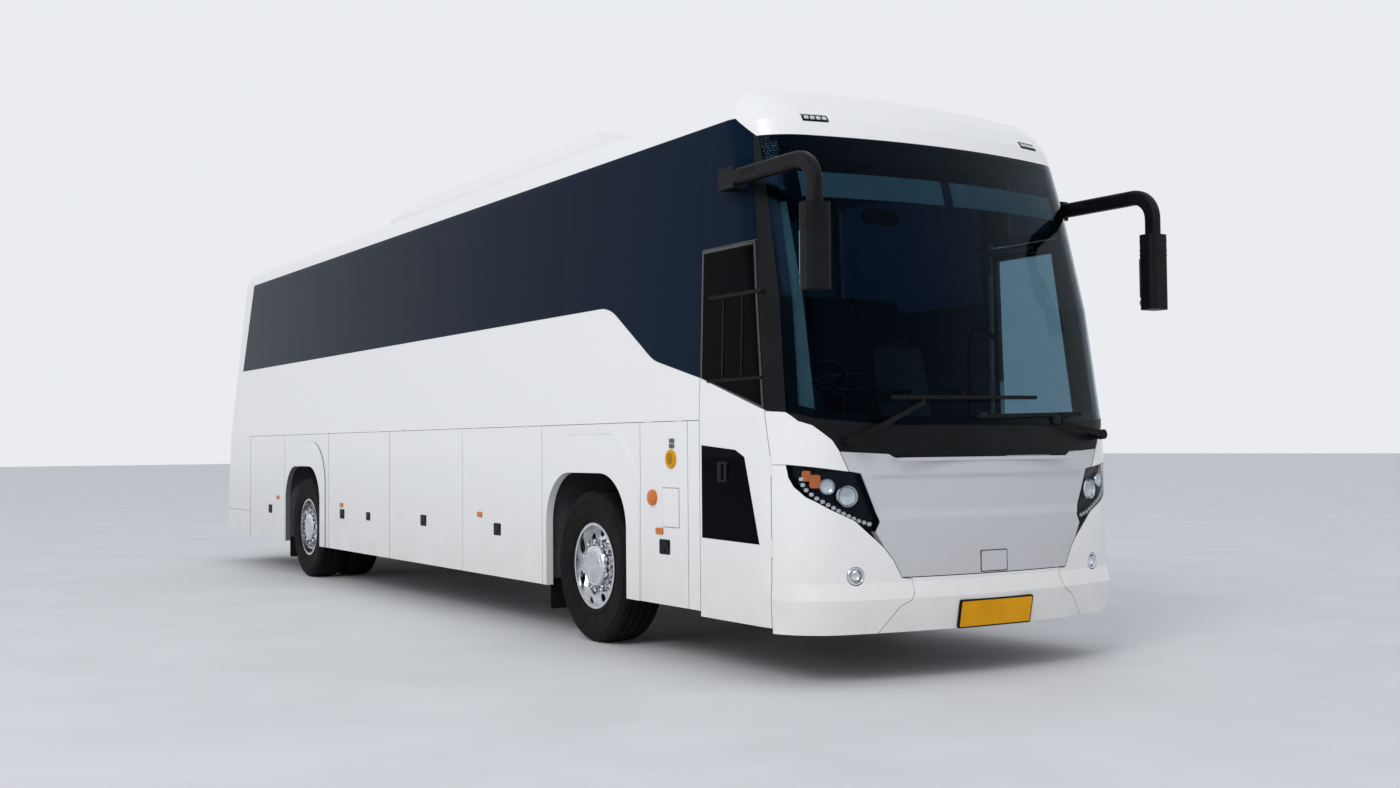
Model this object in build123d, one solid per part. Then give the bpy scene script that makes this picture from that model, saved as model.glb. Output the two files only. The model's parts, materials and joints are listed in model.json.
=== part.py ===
"""Two-axle high-deck coach, right-hand drive, built as separate panels, frames, axles and doors.

Frame: +Z up from the ground, the front of the coach at -Y, +X is the coach's left side.
The origin is on the ground, on the centreline, half way along the whole length.
"""
import os
from math import atan2, cos, degrees, pi, radians, sin, sqrt, tan

from build123d import *

os.makedirs("parts", exist_ok=True)

# Overall sizes
WIDTH = 2550
WHEELBASE = 6350
FRONT_OVERHANG = 2640
REAR_OVERHANG = 3150
MIRROR_REACH = 110
ROOF_TOP_Z = 3490
WAIST_Z = 1475
SKIRT_Z = 342
RIBBON_FOOT_Z = 2240
RIBBON_TOP_Z = 3225
SHOULDER_Z = 3172
FLARE_PROUD = 8
TUMBLEHOME = 50
ROOF_EDGE_RADIUS = 260
ROOF_CROWN = 58

# Shell
WALL = 45
GLASS = 8
GAP = 7
SEAT_GAP = 0.3
OVERRUN = 60

# Wheels and axles
TYRE_RADIUS = 515
TYRE_WIDTH = 295
RIM_RADIUS = 286
WHEEL_INSET = 50
TWIN_SPACING = 340
KINGPIN_INSET = 275
KNUCKLE_GAP = 6

# Ladder frame
RAIL_SPREAD = 392
RAIL_WIDTH = 75
RAIL_FOOT_Z = 620
RAIL_HEIGHT = 260

# Floors
DECK_Z = 1350
DECK_THICK = 40
HOLD_FLOOR_Z = 440
CAB_FLOOR_THICK = 40

# Side panels, measured along the coach from the front axle
ARCH_PANEL_AHEAD = 761
ARCH_PANEL_BEHIND = 667
SERVICE_FLAP_LENGTH = 580
DOOR_STRIP_LENGTH = 135
DRIVER_DOOR_LENGTH = 730
PASSENGER_DOOR_LENGTH = 900
REAR_ARCH_AHEAD = 850
REAR_ARCH_BEHIND = 640
ENGINE_FLAP_LENGTH = 1350
ARCH_HALF_LENGTH = 585
ARCH_TOP_Z = 1145
ARCH_RADIUS = 360
FLARE_WIDTH = 150

# Places along the coach
FRONT_AXLE_Y = (FRONT_OVERHANG + MIRROR_REACH - WHEELBASE - REAR_OVERHANG) / 2
REAR_AXLE_Y = FRONT_AXLE_Y + WHEELBASE
BODY_FRONT_Y = FRONT_AXLE_Y - FRONT_OVERHANG
BODY_REAR_Y = REAR_AXLE_Y + REAR_OVERHANG
BODY_HALF = WIDTH / 2 - FLARE_PROUD
AXLE_Z = TYRE_RADIUS
FRONT_TRACK_X = WIDTH / 2 - WHEEL_INSET - TYRE_WIDTH / 2
KINGPIN_X = WIDTH / 2 - KINGPIN_INSET
ARCH_FRONT_Y = FRONT_AXLE_Y - ARCH_PANEL_AHEAD
ARCH_BACK_Y = FRONT_AXLE_Y + ARCH_PANEL_BEHIND
SERVICE_FRONT_Y = ARCH_FRONT_Y - SERVICE_FLAP_LENGTH
DOOR_BACK_Y = SERVICE_FRONT_Y - DOOR_STRIP_LENGTH
DOOR_FRONT_Y = DOOR_BACK_Y - DRIVER_DOOR_LENGTH
HOLD_BACK_Y = REAR_AXLE_Y - REAR_ARCH_AHEAD
REAR_PANEL_Y = REAR_AXLE_Y + REAR_ARCH_BEHIND
ENGINE_FLAP_Y = REAR_PANEL_Y + ENGINE_FLAP_LENGTH
CAP_Y = ARCH_FRONT_Y
TAIL_Y = ENGINE_FLAP_Y + GAP


def outline(points):
    """Closed face from (a, b) or (a, b, corner radius) points."""
    corners = []
    count = len(points)
    for i, point in enumerate(points):
        here = Vector(*point[:2])
        radius = point[2] if len(point) > 2 else 0
        back = (Vector(*points[i - 1][:2]) - here).normalized()
        ahead = (Vector(*points[(i + 1) % count][:2]) - here).normalized()
        if radius == 0:
            corners.append((here, here, None))
            continue
        half = radians(back.get_angle(ahead)) / 2
        reach = radius / tan(half)
        inward = (back + ahead).normalized()
        middle = here + inward * (radius / sin(half) - radius)
        corners.append((here + back * reach, here + ahead * reach, middle))
    edges = []
    for i, (start, end, middle) in enumerate(corners):
        if middle is not None:
            edges.append(ThreePointArc(start, middle, end))
        following = corners[(i + 1) % count][0]
        if (following - end).length > SEAT_GAP / 100:
            edges.append(Line(end, following))
    return make_face(edges)


def inset(face, gap):
    """Face drawn in by a gap all round."""
    return offset(face, amount=-gap, kind=Kind.INTERSECTION) if gap else face


def prism_x(points, x0, x1, gap=0):
    """Outline of (y, z) points carried from x0 to x1."""
    face = Plane.YZ.offset(x0) * inset(outline(points), gap)
    return extrude(face, amount=x1 - x0, dir=(1, 0, 0))


def prism_y(points, y0, y1, gap=0):
    """Outline of (x, z) points carried from y0 to y1."""
    plane = Plane(origin=(0, y0, 0), x_dir=(1, 0, 0), z_dir=(0, -1, 0))
    return extrude(plane * inset(outline(points), gap), amount=y1 - y0, dir=(0, 1, 0))


def prism_z(points, z0, z1, gap=0):
    """Outline of (x, y) points carried from z0 to z1."""
    face = Plane.XY.offset(z0) * inset(outline(points), gap)
    return extrude(face, amount=z1 - z0, dir=(0, 0, 1))


def block(x0, x1, y0, y1, z0, z1):
    """Box between two corners."""
    size = Box(x1 - x0, y1 - y0, z1 - z0)
    return Pos((x0 + x1) / 2, (y0 + y1) / 2, (z0 + z1) / 2) * size


def rod(x0, x1, y, z, radius):
    """Round bar along X."""
    return Pos((x0 + x1) / 2, y, z) * Rot(0, 90, 0) * Cylinder(radius, x1 - x0)


def post(x, y, z0, z1, radius):
    """Round bar along Z."""
    return Pos(x, y, (z0 + z1) / 2) * Cylinder(radius, z1 - z0)


def solids_of(*shapes):
    """Every solid in the given shapes, in order."""
    found = []
    for shape in shapes:
        if shape is None:
            continue
        found += list(shape) if isinstance(shape, (list, ShapeList)) else list(shape.solids())
    return found


def write(name, *shapes):
    """One STEP file for one node."""
    found = solids_of(*shapes)
    export_step(found[0] if len(found) == 1 else Compound(found), f"parts/{name}.step")


def flip(*shapes):
    """The same shapes on the other side of the coach."""
    return [mirror(solid, about=Plane.YZ) for solid in solids_of(*shapes)]


def meet(shape, other):
    """Common part of two shapes as a list of solids."""
    return solids_of(shape & other)


def half_width(z):
    """Half width of the body: upright to the waist, leaning in above it."""
    if z <= WAIST_Z:
        return BODY_HALF
    return BODY_HALF - TUMBLEHOME * (z - WAIST_Z) / (SHOULDER_Z - WAIST_Z)


def cap_face(z, y_end, corner, y_join, bow, depth):
    """Level section of an end cap: side, corner arc, bowed end, corner arc, side."""
    toward = 1 if y_join > y_end else -1
    half = half_width(z) - depth
    corner_x = half_width(z) - corner
    bow_y = y_end + toward * bow
    corner_y = bow_y - toward * sqrt((bow - corner) ** 2 - corner_x**2)
    share = 1 / (bow - corner)
    join_x = corner_x * share * (bow - depth)
    join_y = bow_y + (corner_y - bow_y) * share * (bow - depth)
    lean = atan2(abs(corner_y - bow_y), corner_x) / 2
    mid_x = corner_x + (corner - depth) * cos(lean)
    mid_y = corner_y - toward * (corner - depth) * sin(lean)
    right = [
        Line((-half, y_join), (-half, corner_y)),
        ThreePointArc((-half, corner_y), (-mid_x, mid_y), (-join_x, join_y)),
        ThreePointArc((-join_x, join_y), (0, y_end + toward * depth), (join_x, join_y)),
        ThreePointArc((join_x, join_y), (mid_x, mid_y), (half, corner_y)),
        Line((half, corner_y), (half, y_join)),
        Line((half, y_join), (-half, y_join)),
    ]
    return Plane.XY.offset(z) * make_face(right)


def roof_points(depth, foot_z):
    """Cross-section of the body above the skirts, drawn in by a depth."""
    shoulder = half_width(SHOULDER_Z) - depth
    radius = ROOF_EDGE_RADIUS - depth
    edge_x = half_width(SHOULDER_Z) - ROOF_EDGE_RADIUS
    crown_z = SHOULDER_Z + radius
    return shoulder, radius, edge_x, crown_z, foot_z


def roof_face(depth, foot_z):
    """Closed face of the cross-section in (x, z)."""
    shoulder, radius, edge_x, crown_z, foot = roof_points(depth, foot_z)
    waist = BODY_HALF - depth
    mid = radius * sin(pi / 4)
    edges = [
        Line((-waist, foot), (-waist, WAIST_Z)),
        Line((-waist, WAIST_Z), (-shoulder, SHOULDER_Z)),
        ThreePointArc((-shoulder, SHOULDER_Z), (-edge_x - mid, SHOULDER_Z + mid), (-edge_x, crown_z)),
        ThreePointArc((-edge_x, crown_z), (0, crown_z + ROOF_CROWN), (edge_x, crown_z)),
        ThreePointArc((edge_x, crown_z), (edge_x + mid, SHOULDER_Z + mid), (shoulder, SHOULDER_Z)),
        Line((shoulder, SHOULDER_Z), (waist, WAIST_Z)),
        Line((waist, WAIST_Z), (waist, foot)),
        Line((waist, foot), (-waist, foot)),
    ]
    return make_face(edges)


def tunnel(depth, y0, y1, foot_z=0):
    """Body cross-section carried from y0 to y1."""
    plane = Plane(origin=(0, y0, 0), x_dir=(1, 0, 0), z_dir=(0, -1, 0))
    return extrude(plane * roof_face(depth, foot_z), amount=y1 - y0, dir=(0, 1, 0))


# Front cap sections: height as a share of the roof's, setback as a share of the cap's depth
CAP_DEPTH = 1000
FRONT_BOW = 4000
FRONT_CORNER = 380
FRONT_SECTION_SHARES = [
    (0.0600, 0.050),
    (0.1347, 0.000),
    (0.1605, 0.030),
    (0.3725, 0.040),
    (0.4226, 0.055),
    (0.6160, 0.155),
    (0.8023, 0.320),
    (0.8825, 0.410),
    (0.9169, 0.460),
    (0.9456, 0.540),
    (0.9713, 0.660),
    (0.9885, 0.810),
    (1.0000, 0.990),
]
# Rear cap sections: height share, rake as a share of the tail's rake
TAIL_RAKE = 1100
REAR_BOW = 14000
REAR_CORNER = 110
REAR_SECTION_SHARES = [
    (0.0600, 0.060),
    (0.1400, 0.000),
    (0.4226, 0.140),
    (0.9090, 0.590),
    (1.0000, 0.760),
]


def front_cap(depth):
    """Front of the body, drawn in by a depth and ending behind the driver's door."""
    faces = [
        cap_face(z * ROOF_TOP_Z, BODY_FRONT_Y + s * CAP_DEPTH, FRONT_CORNER, CAP_Y, FRONT_BOW, depth)
        for z, s in FRONT_SECTION_SHARES
    ]
    whole = loft(faces, ruled=True)
    return whole & tunnel(depth, BODY_FRONT_Y - OVERRUN, CAP_Y)


def rear_cap(depth):
    """Tail of the body, drawn in by a depth."""
    faces = [
        cap_face(z * ROOF_TOP_Z, BODY_REAR_Y - s * TAIL_RAKE, REAR_CORNER, TAIL_Y, REAR_BOW, depth)
        for z, s in REAR_SECTION_SHARES
    ]
    whole = loft(faces, ruled=True)
    return whole & tunnel(depth, TAIL_Y, BODY_REAR_Y + OVERRUN)


front_outer = front_cap(0)
front_glass_line = front_cap(GLASS)
front_seat_line = front_cap(GLASS + SEAT_GAP)
front_inner = front_cap(WALL)
front_core = front_cap(WALL + SEAT_GAP)
front_skin = front_outer - front_inner
front_pane = front_outer - front_glass_line
front_backing = front_seat_line - front_inner

rear_outer = rear_cap(0)
rear_glass_line = rear_cap(GLASS)
rear_seat_line = rear_cap(GLASS + SEAT_GAP)
rear_inner = rear_cap(WALL)
rear_core = rear_cap(WALL + SEAT_GAP)
rear_skin = rear_outer - rear_inner
rear_pane = rear_outer - rear_glass_line

# Side outlines
SEAM = 3
DOOR_FOOT_Z = 310
DOOR_TOP_Z = 2485
DOOR_SETBACK_LOW = 56
DOOR_SETBACK_TOP = 176
DOOR_KNEE_Z = 1228
DOOR_LEAN_Z = 1541
PILLAR_TOP_SETBACK = 276
PASSENGER_DOOR_TOP_Z = 2660
SWEEP_BACK = 320
SWEEP_KNEE = 914
SWEEP_KNEE_Z = 1859
SWEEP_END_Z = 1724
SWEEP_FRONT_Z = 1520
SWEEP_RADIUS = 420
RIBBON_REAR_FOOT = 737
RIBBON_REAR_TOP = 1104
TAIL_JOINT_FOOT = 450
TAIL_JOINT_TOP = 880
CAP_NOSE_SETBACK = 319
CAP_NOSE_LOW_SETBACK = 474
SCREEN_TOP_Z = 3100
WINDOW_MARGIN = 55
PILLAR_WIDTH = 90
HINGE_PIN = 3.2
HINGE_STAND = 2
HINGE_TAB = 90
HINGE_INSET_SHARE = 0.18
WALL_RAIL = 60
WALL_RAIL_RISE = 60
DECK_EDGE_GAP = 7
# Window joints from the door's rear edge to the ribbon's rear foot, as shares of that length
PANE_JOINT_SHARES = (0.0, 0.1827, 0.4129, 0.6085, 0.8042, 1.0)
# Luggage flap joints, as shares of the hold's length
FLAP_JOINT_SHARES = (0.0, 0.3006, 0.6441, 1.0)

ribbon_foot_y = BODY_REAR_Y - RIBBON_REAR_FOOT
ribbon_head_y = BODY_REAR_Y - RIBBON_REAR_TOP
PASSENGER_BACK_Y = DOOR_FRONT_Y + PASSENGER_DOOR_LENGTH
CAP_HIGH_Y = DOOR_BACK_Y - CAP_NOSE_SETBACK
CAP_LOW_Y = DOOR_BACK_Y - CAP_NOSE_LOW_SETBACK
SIDE_OUT = WIDTH / 2 + OVERRUN


def tail_y(z):
    """Leaning joint between the side wall and the tail."""
    top = RIBBON_TOP_Z
    share = (z - WAIST_Z) / (top - WAIST_Z)
    return BODY_REAR_Y - TAIL_JOINT_FOOT - (TAIL_JOINT_TOP - TAIL_JOINT_FOOT) * share


ring = tunnel(0, DOOR_BACK_Y, BODY_REAR_Y) - tunnel(WALL, DOOR_BACK_Y, BODY_REAR_Y)
pane_ring = tunnel(0, DOOR_BACK_Y, BODY_REAR_Y) - tunnel(GLASS, DOOR_BACK_Y, BODY_REAR_Y)
seat_ring = tunnel(0, DOOR_BACK_Y, BODY_REAR_Y) - tunnel(GLASS + SEAT_GAP, DOOR_BACK_Y, BODY_REAR_Y)

sweep_back_y = FRONT_AXLE_Y - SWEEP_BACK
sweep_knee_y = FRONT_AXLE_Y - SWEEP_KNEE
wall_outline = [
    (DOOR_BACK_Y, WAIST_Z),
    (DOOR_BACK_Y, RIBBON_TOP_Z),
    (tail_y(RIBBON_TOP_Z), RIBBON_TOP_Z),
    (tail_y(WAIST_Z), WAIST_Z),
]
ribbon_outline = [
    (DOOR_BACK_Y, SWEEP_END_Z),
    (DOOR_BACK_Y, RIBBON_TOP_Z),
    (ribbon_head_y, RIBBON_TOP_Z),
    (ribbon_foot_y, RIBBON_FOOT_Z),
    (sweep_back_y, RIBBON_FOOT_Z, SWEEP_RADIUS),
    (sweep_knee_y, SWEEP_KNEE_Z, SWEEP_RADIUS),
]
pane_joints = [DOOR_BACK_Y + share * (ribbon_foot_y - DOOR_BACK_Y) for share in PANE_JOINT_SHARES]


def hinge_tabs_along(y0, y1, x_out, z):
    """Pins for a top-hinged flap, each on a tab that reaches up into the wall."""
    tabs = []
    for share in (HINGE_INSET_SHARE, 1 - HINGE_INSET_SHARE):
        y = y0 + share * (y1 - y0)
        pin = Pos(x_out, y, z) * Rot(90, 0, 0) * Cylinder(HINGE_PIN, HINGE_TAB)
        tab_y = (y - HINGE_TAB / 2, y + HINGE_TAB / 2)
        tab = block(x_out - HINGE_STAND - WALL / 3, x_out, *tab_y, z, z + GAP + SEAM)
        tabs += [pin, tab]
    return tabs


flap_joints = [ARCH_BACK_Y + share * (HOLD_BACK_Y - ARCH_BACK_Y) for share in FLAP_JOINT_SHARES]
HINGE_X = BODY_HALF + HINGE_STAND
left_flaps = [
    ("luggage_flap_front", flap_joints[0], flap_joints[1]),
    ("luggage_flap_middle", flap_joints[1], flap_joints[2]),
    ("luggage_flap_rear", flap_joints[2], flap_joints[3]),
    ("engine_side_flap", REAR_PANEL_Y, ENGINE_FLAP_Y),
]
service_flap = ("service_flap", SERVICE_FRONT_Y, ARCH_FRONT_Y)


def doorway(back_y, top_z):
    """Room that a door takes out of the wall and the window ribbon behind it."""
    return block(0, SIDE_OUT, DOOR_FRONT_Y, back_y + GAP / 2, 0, top_z + GAP / 2)


def side_wall(flaps, back_y, top_z):
    """Left wall above the waist: white panel, window openings, rail on the deck and flap hinges."""
    wall = ring & prism_x(wall_outline, 0, SIDE_OUT, SEAT_GAP / 2)
    wall -= doorway(back_y, top_z)
    wall -= seat_ring & prism_x(ribbon_outline, 0, SIDE_OUT)
    for start, end in zip(pane_joints, pane_joints[1:]):
        near = max(start, back_y) + PILLAR_WIDTH / 2
        reach = end - PILLAR_WIDTH / 2
        head = min(reach, ribbon_head_y - WINDOW_MARGIN)
        foot_z = RIBBON_FOOT_Z + WINDOW_MARGIN
        hole = [
            (near, foot_z),
            (near, RIBBON_TOP_Z - WINDOW_MARGIN),
            (head, RIBBON_TOP_Z - WINDOW_MARGIN),
            (min(reach, ribbon_foot_y - WINDOW_MARGIN - PILLAR_WIDTH), foot_z),
        ]
        wall -= prism_x(hole, 0, SIDE_OUT)
    inner = BODY_HALF - WALL
    rail_out = inner - DECK_EDGE_GAP
    rail_y = (back_y + WALL, tail_y(WAIST_Z) - WALL)
    rail_top = WAIST_Z + WALL_RAIL_RISE
    wall += block(inner - WALL_RAIL, rail_out, *rail_y, DECK_Z, rail_top)
    wall += block(inner - WALL_RAIL, inner + WALL / 2, *rail_y, WAIST_Z + SEAM, rail_top)
    for _, start, end in flaps:
        for tab in hinge_tabs_along(start, end, HINGE_X, WAIST_Z):
            wall += tab
    return wall


def side_glass(back_y, top_z):
    """Left window ribbon in panes."""
    ribbon = pane_ring & prism_x(ribbon_outline, 0, SIDE_OUT, SEAM / 2)
    ribbon -= doorway(back_y, top_z)
    panes = []
    for start, end in zip(pane_joints, pane_joints[1:]):
        far = end if end < pane_joints[-1] else BODY_REAR_Y
        panes += meet(ribbon, block(0, SIDE_OUT, start + SEAM / 2, far - SEAM / 2, SKIRT_Z, ROOF_TOP_Z))
    return panes


left_door = (PASSENGER_BACK_Y, PASSENGER_DOOR_TOP_Z)
right_door = (DOOR_BACK_Y, DOOR_TOP_Z)
left_wall = side_wall(left_flaps, *left_door)
right_wall = side_wall(left_flaps + [service_flap], *right_door)
write("side_wall_right", flip(right_wall))
side_panes = side_glass(*left_door) + flip(side_glass(*right_door))

# Fixed skirts with the wheel arches
FLARE_AHEAD = 750
FLARE_BEHIND = 600
FLARE_TOP_Z = 1400
FLARE_RADIUS = 430


def arch_opening(axle_y):
    """Outline of the opening over a wheel."""
    return [
        (axle_y - ARCH_HALF_LENGTH, 0),
        (axle_y - ARCH_HALF_LENGTH, ARCH_TOP_Z, ARCH_RADIUS),
        (axle_y + ARCH_HALF_LENGTH, ARCH_TOP_Z, ARCH_RADIUS),
        (axle_y + ARCH_HALF_LENGTH, 0),
    ]


def arch_panel(axle_y, y0, y1):
    """Left panel round a wheel with its raised flare."""
    rest = [(y0, SKIRT_Z), (y0, WAIST_Z), (y1, WAIST_Z), (y1, SKIRT_Z)]
    panel = prism_x(rest, BODY_HALF - WALL, BODY_HALF, GAP / 2)
    flare = [
        (axle_y - FLARE_AHEAD, SKIRT_Z + GAP / 2),
        (axle_y - FLARE_AHEAD, FLARE_TOP_Z, FLARE_RADIUS),
        (axle_y + FLARE_BEHIND, FLARE_TOP_Z, FLARE_RADIUS),
        (axle_y + FLARE_BEHIND, SKIRT_Z + GAP / 2),
    ]
    panel += prism_x(flare, BODY_HALF - WALL, WIDTH / 2)
    return panel - prism_x(arch_opening(axle_y), BODY_HALF - OVERRUN, SIDE_OUT)


def flap(y0, y1):
    """Left outer flap between two joints."""
    points = [(y0, SKIRT_Z), (y0, WAIST_Z), (y1, WAIST_Z), (y1, SKIRT_Z)]
    return prism_x(points, BODY_HALF - WALL, BODY_HALF, GAP / 2)


arches = [
    arch_panel(FRONT_AXLE_Y, ARCH_FRONT_Y, ARCH_BACK_Y),
    arch_panel(REAR_AXLE_Y, HOLD_BACK_Y, REAR_PANEL_Y),
]
door_strip = flap(DOOR_BACK_Y, SERVICE_FRONT_Y)
write("skirts", arches, flap(PASSENGER_BACK_Y, ARCH_FRONT_Y), flip(*arches, door_strip))
for name, start, end in left_flaps:
    panel = flap(start, end)
    write(f"{name}_left", panel)
    write(f"{name}_right", flip(panel))
write("service_flap_right", flip(flap(service_flap[1], service_flap[2])))

# Roof with the front dome
NOSE_Y = BODY_FRONT_Y - OVERRUN
TAIL_END_Y = BODY_REAR_Y + OVERRUN
SKY_Z = ROOF_TOP_Z + OVERRUN
roof_mid_outline = [
    (CAP_Y, RIBBON_TOP_Z),
    (CAP_Y, SKY_Z),
    (tail_y(SKY_Z), SKY_Z),
    (tail_y(RIBBON_TOP_Z), RIBBON_TOP_Z),
]
roof_front_outline = [
    (CAP_Y, RIBBON_TOP_Z + SEAT_GAP / 2),
    (CAP_HIGH_Y, RIBBON_TOP_Z + SEAT_GAP / 2),
    (CAP_LOW_Y, SCREEN_TOP_Z + SEAM / 2),
    (NOSE_Y, SCREEN_TOP_Z + SEAM / 2),
    (NOSE_Y, SKY_Z),
    (CAP_Y, SKY_Z),
]
MARKER_X = 836
MARKER_Z = 3212
MARKER_WIDTH = 168
MARKER_HEIGHT = 48


def marker_box(gap):
    """Outline of the left marker lamp in the dome, drawn in by a gap."""
    across = MARKER_WIDTH / 2 - gap
    up = MARKER_HEIGHT / 2 - gap
    return block(MARKER_X - across, MARKER_X + across, NOSE_Y, CAP_Y, MARKER_Z - up, MARKER_Z + up)


full_ring = tunnel(0, CAP_Y, BODY_REAR_Y) - tunnel(WALL, CAP_Y, BODY_REAR_Y)
roof_mid = full_ring & prism_x(roof_mid_outline, -SIDE_OUT, SIDE_OUT, SEAT_GAP / 2)
roof_mid += full_ring & prism_x(
    [
        (CAP_Y, RIBBON_TOP_Z + SEAT_GAP / 2),
        (CAP_Y, SKY_Z),
        (CAP_Y + OVERRUN, SKY_Z),
        (CAP_Y + OVERRUN, RIBBON_TOP_Z + SEAT_GAP / 2),
    ],
    -SIDE_OUT,
    SIDE_OUT,
)
roof_front = front_skin & prism_x(roof_front_outline, -SIDE_OUT, SIDE_OUT)
marker_recess = front_outer - front_seat_line
for side in (marker_box(0), *flip(marker_box(0))):
    roof_front -= marker_recess & side
roof = roof_mid + roof_front
write("roof", roof)

# Air-conditioning fairing on the roof
AC_FRONT_Y = FRONT_AXLE_Y + 340
AC_LENGTH = 4450
AC_HALF = 900
AC_TOP_HALF = 700
AC_TOP_Z = 3700
AC_SHOULDER_Z = 3570
AC_NOSE = 560
AC_TAIL = 520
ac_side = [
    (AC_FRONT_Y, WAIST_Z),
    (AC_FRONT_Y, ROOF_TOP_Z - SEAM),
    (AC_FRONT_Y + AC_NOSE, AC_TOP_Z),
    (AC_FRONT_Y + AC_LENGTH - AC_TAIL, AC_TOP_Z),
    (AC_FRONT_Y + AC_LENGTH, ROOF_TOP_Z - SEAM),
    (AC_FRONT_Y + AC_LENGTH, WAIST_Z),
]
ac_section = [
    (-AC_HALF, WAIST_Z),
    (-AC_HALF, AC_SHOULDER_Z - WALL),
    (-AC_TOP_HALF, AC_TOP_Z, ROOF_EDGE_RADIUS / 3),
    (AC_TOP_HALF, AC_TOP_Z, ROOF_EDGE_RADIUS / 3),
    (AC_HALF, AC_SHOULDER_Z - WALL),
    (AC_HALF, WAIST_Z),
]
ac = prism_x(ac_side, -AC_HALF, AC_HALF)
ac &= prism_y(ac_section, AC_FRONT_Y - OVERRUN, AC_FRONT_Y + AC_LENGTH + OVERRUN)
write("air_conditioning_fairing", ac - tunnel(0, AC_FRONT_Y - OVERRUN, AC_FRONT_Y + AC_LENGTH + OVERRUN))

# Front face outlines, as shares of the half width and of the waist's height
SCREEN_SHARES = [(0.955, 1.019), (0.864, 0.993), (0.534, 0.969)]
SCREEN_TOP_SHARE = 0.909
COWL_EDGE_SHARES = [(0.923, 0.985), (0.879, 0.969), (0.807, 0.913), (0.778, 0.872)]
BONNET_EDGE_SHARES = [(0.546, 0.861), (0.517, 0.8475)]
LAMP_TOP_SHARES = [(0.961, 0.822), (0.737, 0.794), (0.683, 0.786)]
LAMP_SIDE_SHARES = [(0.598, 0.606), (0.620, 0.569)]
LAMP_LOW_SHARES = [(0.714, 0.612), (0.822, 0.656), (0.909, 0.703), (0.942, 0.740), (0.955, 0.774)]
BONNET_SIDE_SHARES = [(0.578, 0.508), (0.535, 0.462), (0.494, 0.3946)]
BUMPER_JOINT_SHARES = [(0.443, 0.3900), (0.443, 0.3424), (0.463, 0.3119), (0.519, 0.2875), (0.612, 0.1912)]
FRONT_SILL_SHARE = 0.1932
SIDE_SHARE = 1.05


def face_points(shares):
    """Places on the front face from shares of the half width and of the waist's height."""
    return [(x * BODY_HALF, z * WAIST_Z) for x, z in shares]


def both_sides(points):
    """A left half outline that starts and ends near the centreline, closed with its mirror."""
    return points + [(-x, z) for x, z in reversed(points)]


screen_points = face_points(SCREEN_SHARES)
screen_outline = both_sides([(SCREEN_TOP_SHARE * BODY_HALF, SCREEN_TOP_Z)] + screen_points)
cowl_points = face_points(COWL_EDGE_SHARES)
bonnet_top = face_points(BONNET_EDGE_SHARES)
cowl_outline = both_sides(screen_points[::-1] + cowl_points + bonnet_top)
lamp_top = face_points(LAMP_TOP_SHARES)
lamp_side = face_points(LAMP_SIDE_SHARES)
lamp_low = face_points(LAMP_LOW_SHARES)
bonnet_side = face_points(BONNET_SIDE_SHARES)
bumper_joint = face_points(BUMPER_JOINT_SHARES)
sill_z = FRONT_SILL_SHARE * WAIST_Z
edge_x = SIDE_SHARE * BODY_HALF
bonnet_half = bonnet_top[::-1] + cowl_points[-1:] + lamp_top[1:] + lamp_side + bonnet_side
bonnet_outline = both_sides(bonnet_half)
lamp_outline = lamp_top + lamp_side + lamp_low
centre_outline = both_sides([bonnet_side[-1]] + bumper_joint)
corner_outline = (
    [(edge_x, lamp_top[0][1]), lamp_top[0]]
    + lamp_low[::-1]
    + bonnet_side
    + bumper_joint
    + [(edge_x, bumper_joint[-1][1])]
)
quarter_outline = (
    [(edge_x, SWEEP_FRONT_Z + SEAM), screen_points[0]]
    + cowl_points
    + [lamp_top[1], lamp_top[0], (edge_x, lamp_top[0][1])]
)
door_edge = [
    (DOOR_FRONT_Y, 0),
    (DOOR_FRONT_Y, DOOR_KNEE_Z),
    (DOOR_FRONT_Y + DOOR_SETBACK_LOW, DOOR_LEAN_Z),
    (DOOR_FRONT_Y + DOOR_SETBACK_TOP, DOOR_TOP_Z),
    (DOOR_FRONT_Y + PILLAR_TOP_SETBACK, SCREEN_TOP_Z),
]
nose = prism_x(
    [(y - GAP / 2, z) for y, z in door_edge] + [(NOSE_Y, SCREEN_TOP_Z), (NOSE_Y, 0)], -SIDE_OUT, SIDE_OUT
)
nose_skin = front_skin & nose
nose_pane = front_pane & nose
nose_backing = front_backing & nose


def front_piece(shape, points, gap):
    """Part of a shell layer under a front outline."""
    return meet(shape, prism_y(points, NOSE_Y, FRONT_AXLE_Y, gap))


SCREEN_FRAME = 50
windscreen = front_piece(nose_pane, screen_outline, SEAM / 2)
write("windscreen", windscreen)
screen_hole = prism_y(screen_outline, NOSE_Y, FRONT_AXLE_Y)
frame_ring = prism_y(screen_outline, NOSE_Y, FRONT_AXLE_Y, -GAP)
frame_ring -= prism_y(screen_outline, NOSE_Y, FRONT_AXLE_Y, SCREEN_FRAME)
pillar_foot = (DOOR_FRONT_Y + DOOR_SETBACK_LOW, SWEEP_FRONT_Z)
pillar_region = prism_x(
    [
        pillar_foot,
        (DOOR_FRONT_Y - PILLAR_WIDTH, screen_points[0][1]),
        (NOSE_Y, screen_points[0][1]),
        (NOSE_Y, SCREEN_TOP_Z - SEAM / 2),
        (CAP_LOW_Y, SCREEN_TOP_Z - SEAM / 2),
        (DOOR_FRONT_Y + PILLAR_TOP_SETBACK, SCREEN_TOP_Z - SEAM / 2),
        (DOOR_FRONT_Y + DOOR_SETBACK_TOP, DOOR_TOP_Z),
        (DOOR_FRONT_Y + DOOR_SETBACK_LOW, DOOR_LEAN_Z),
    ],
    -SIDE_OUT,
    SIDE_OUT,
)
surround = (nose_skin & pillar_region) - screen_hole
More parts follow.
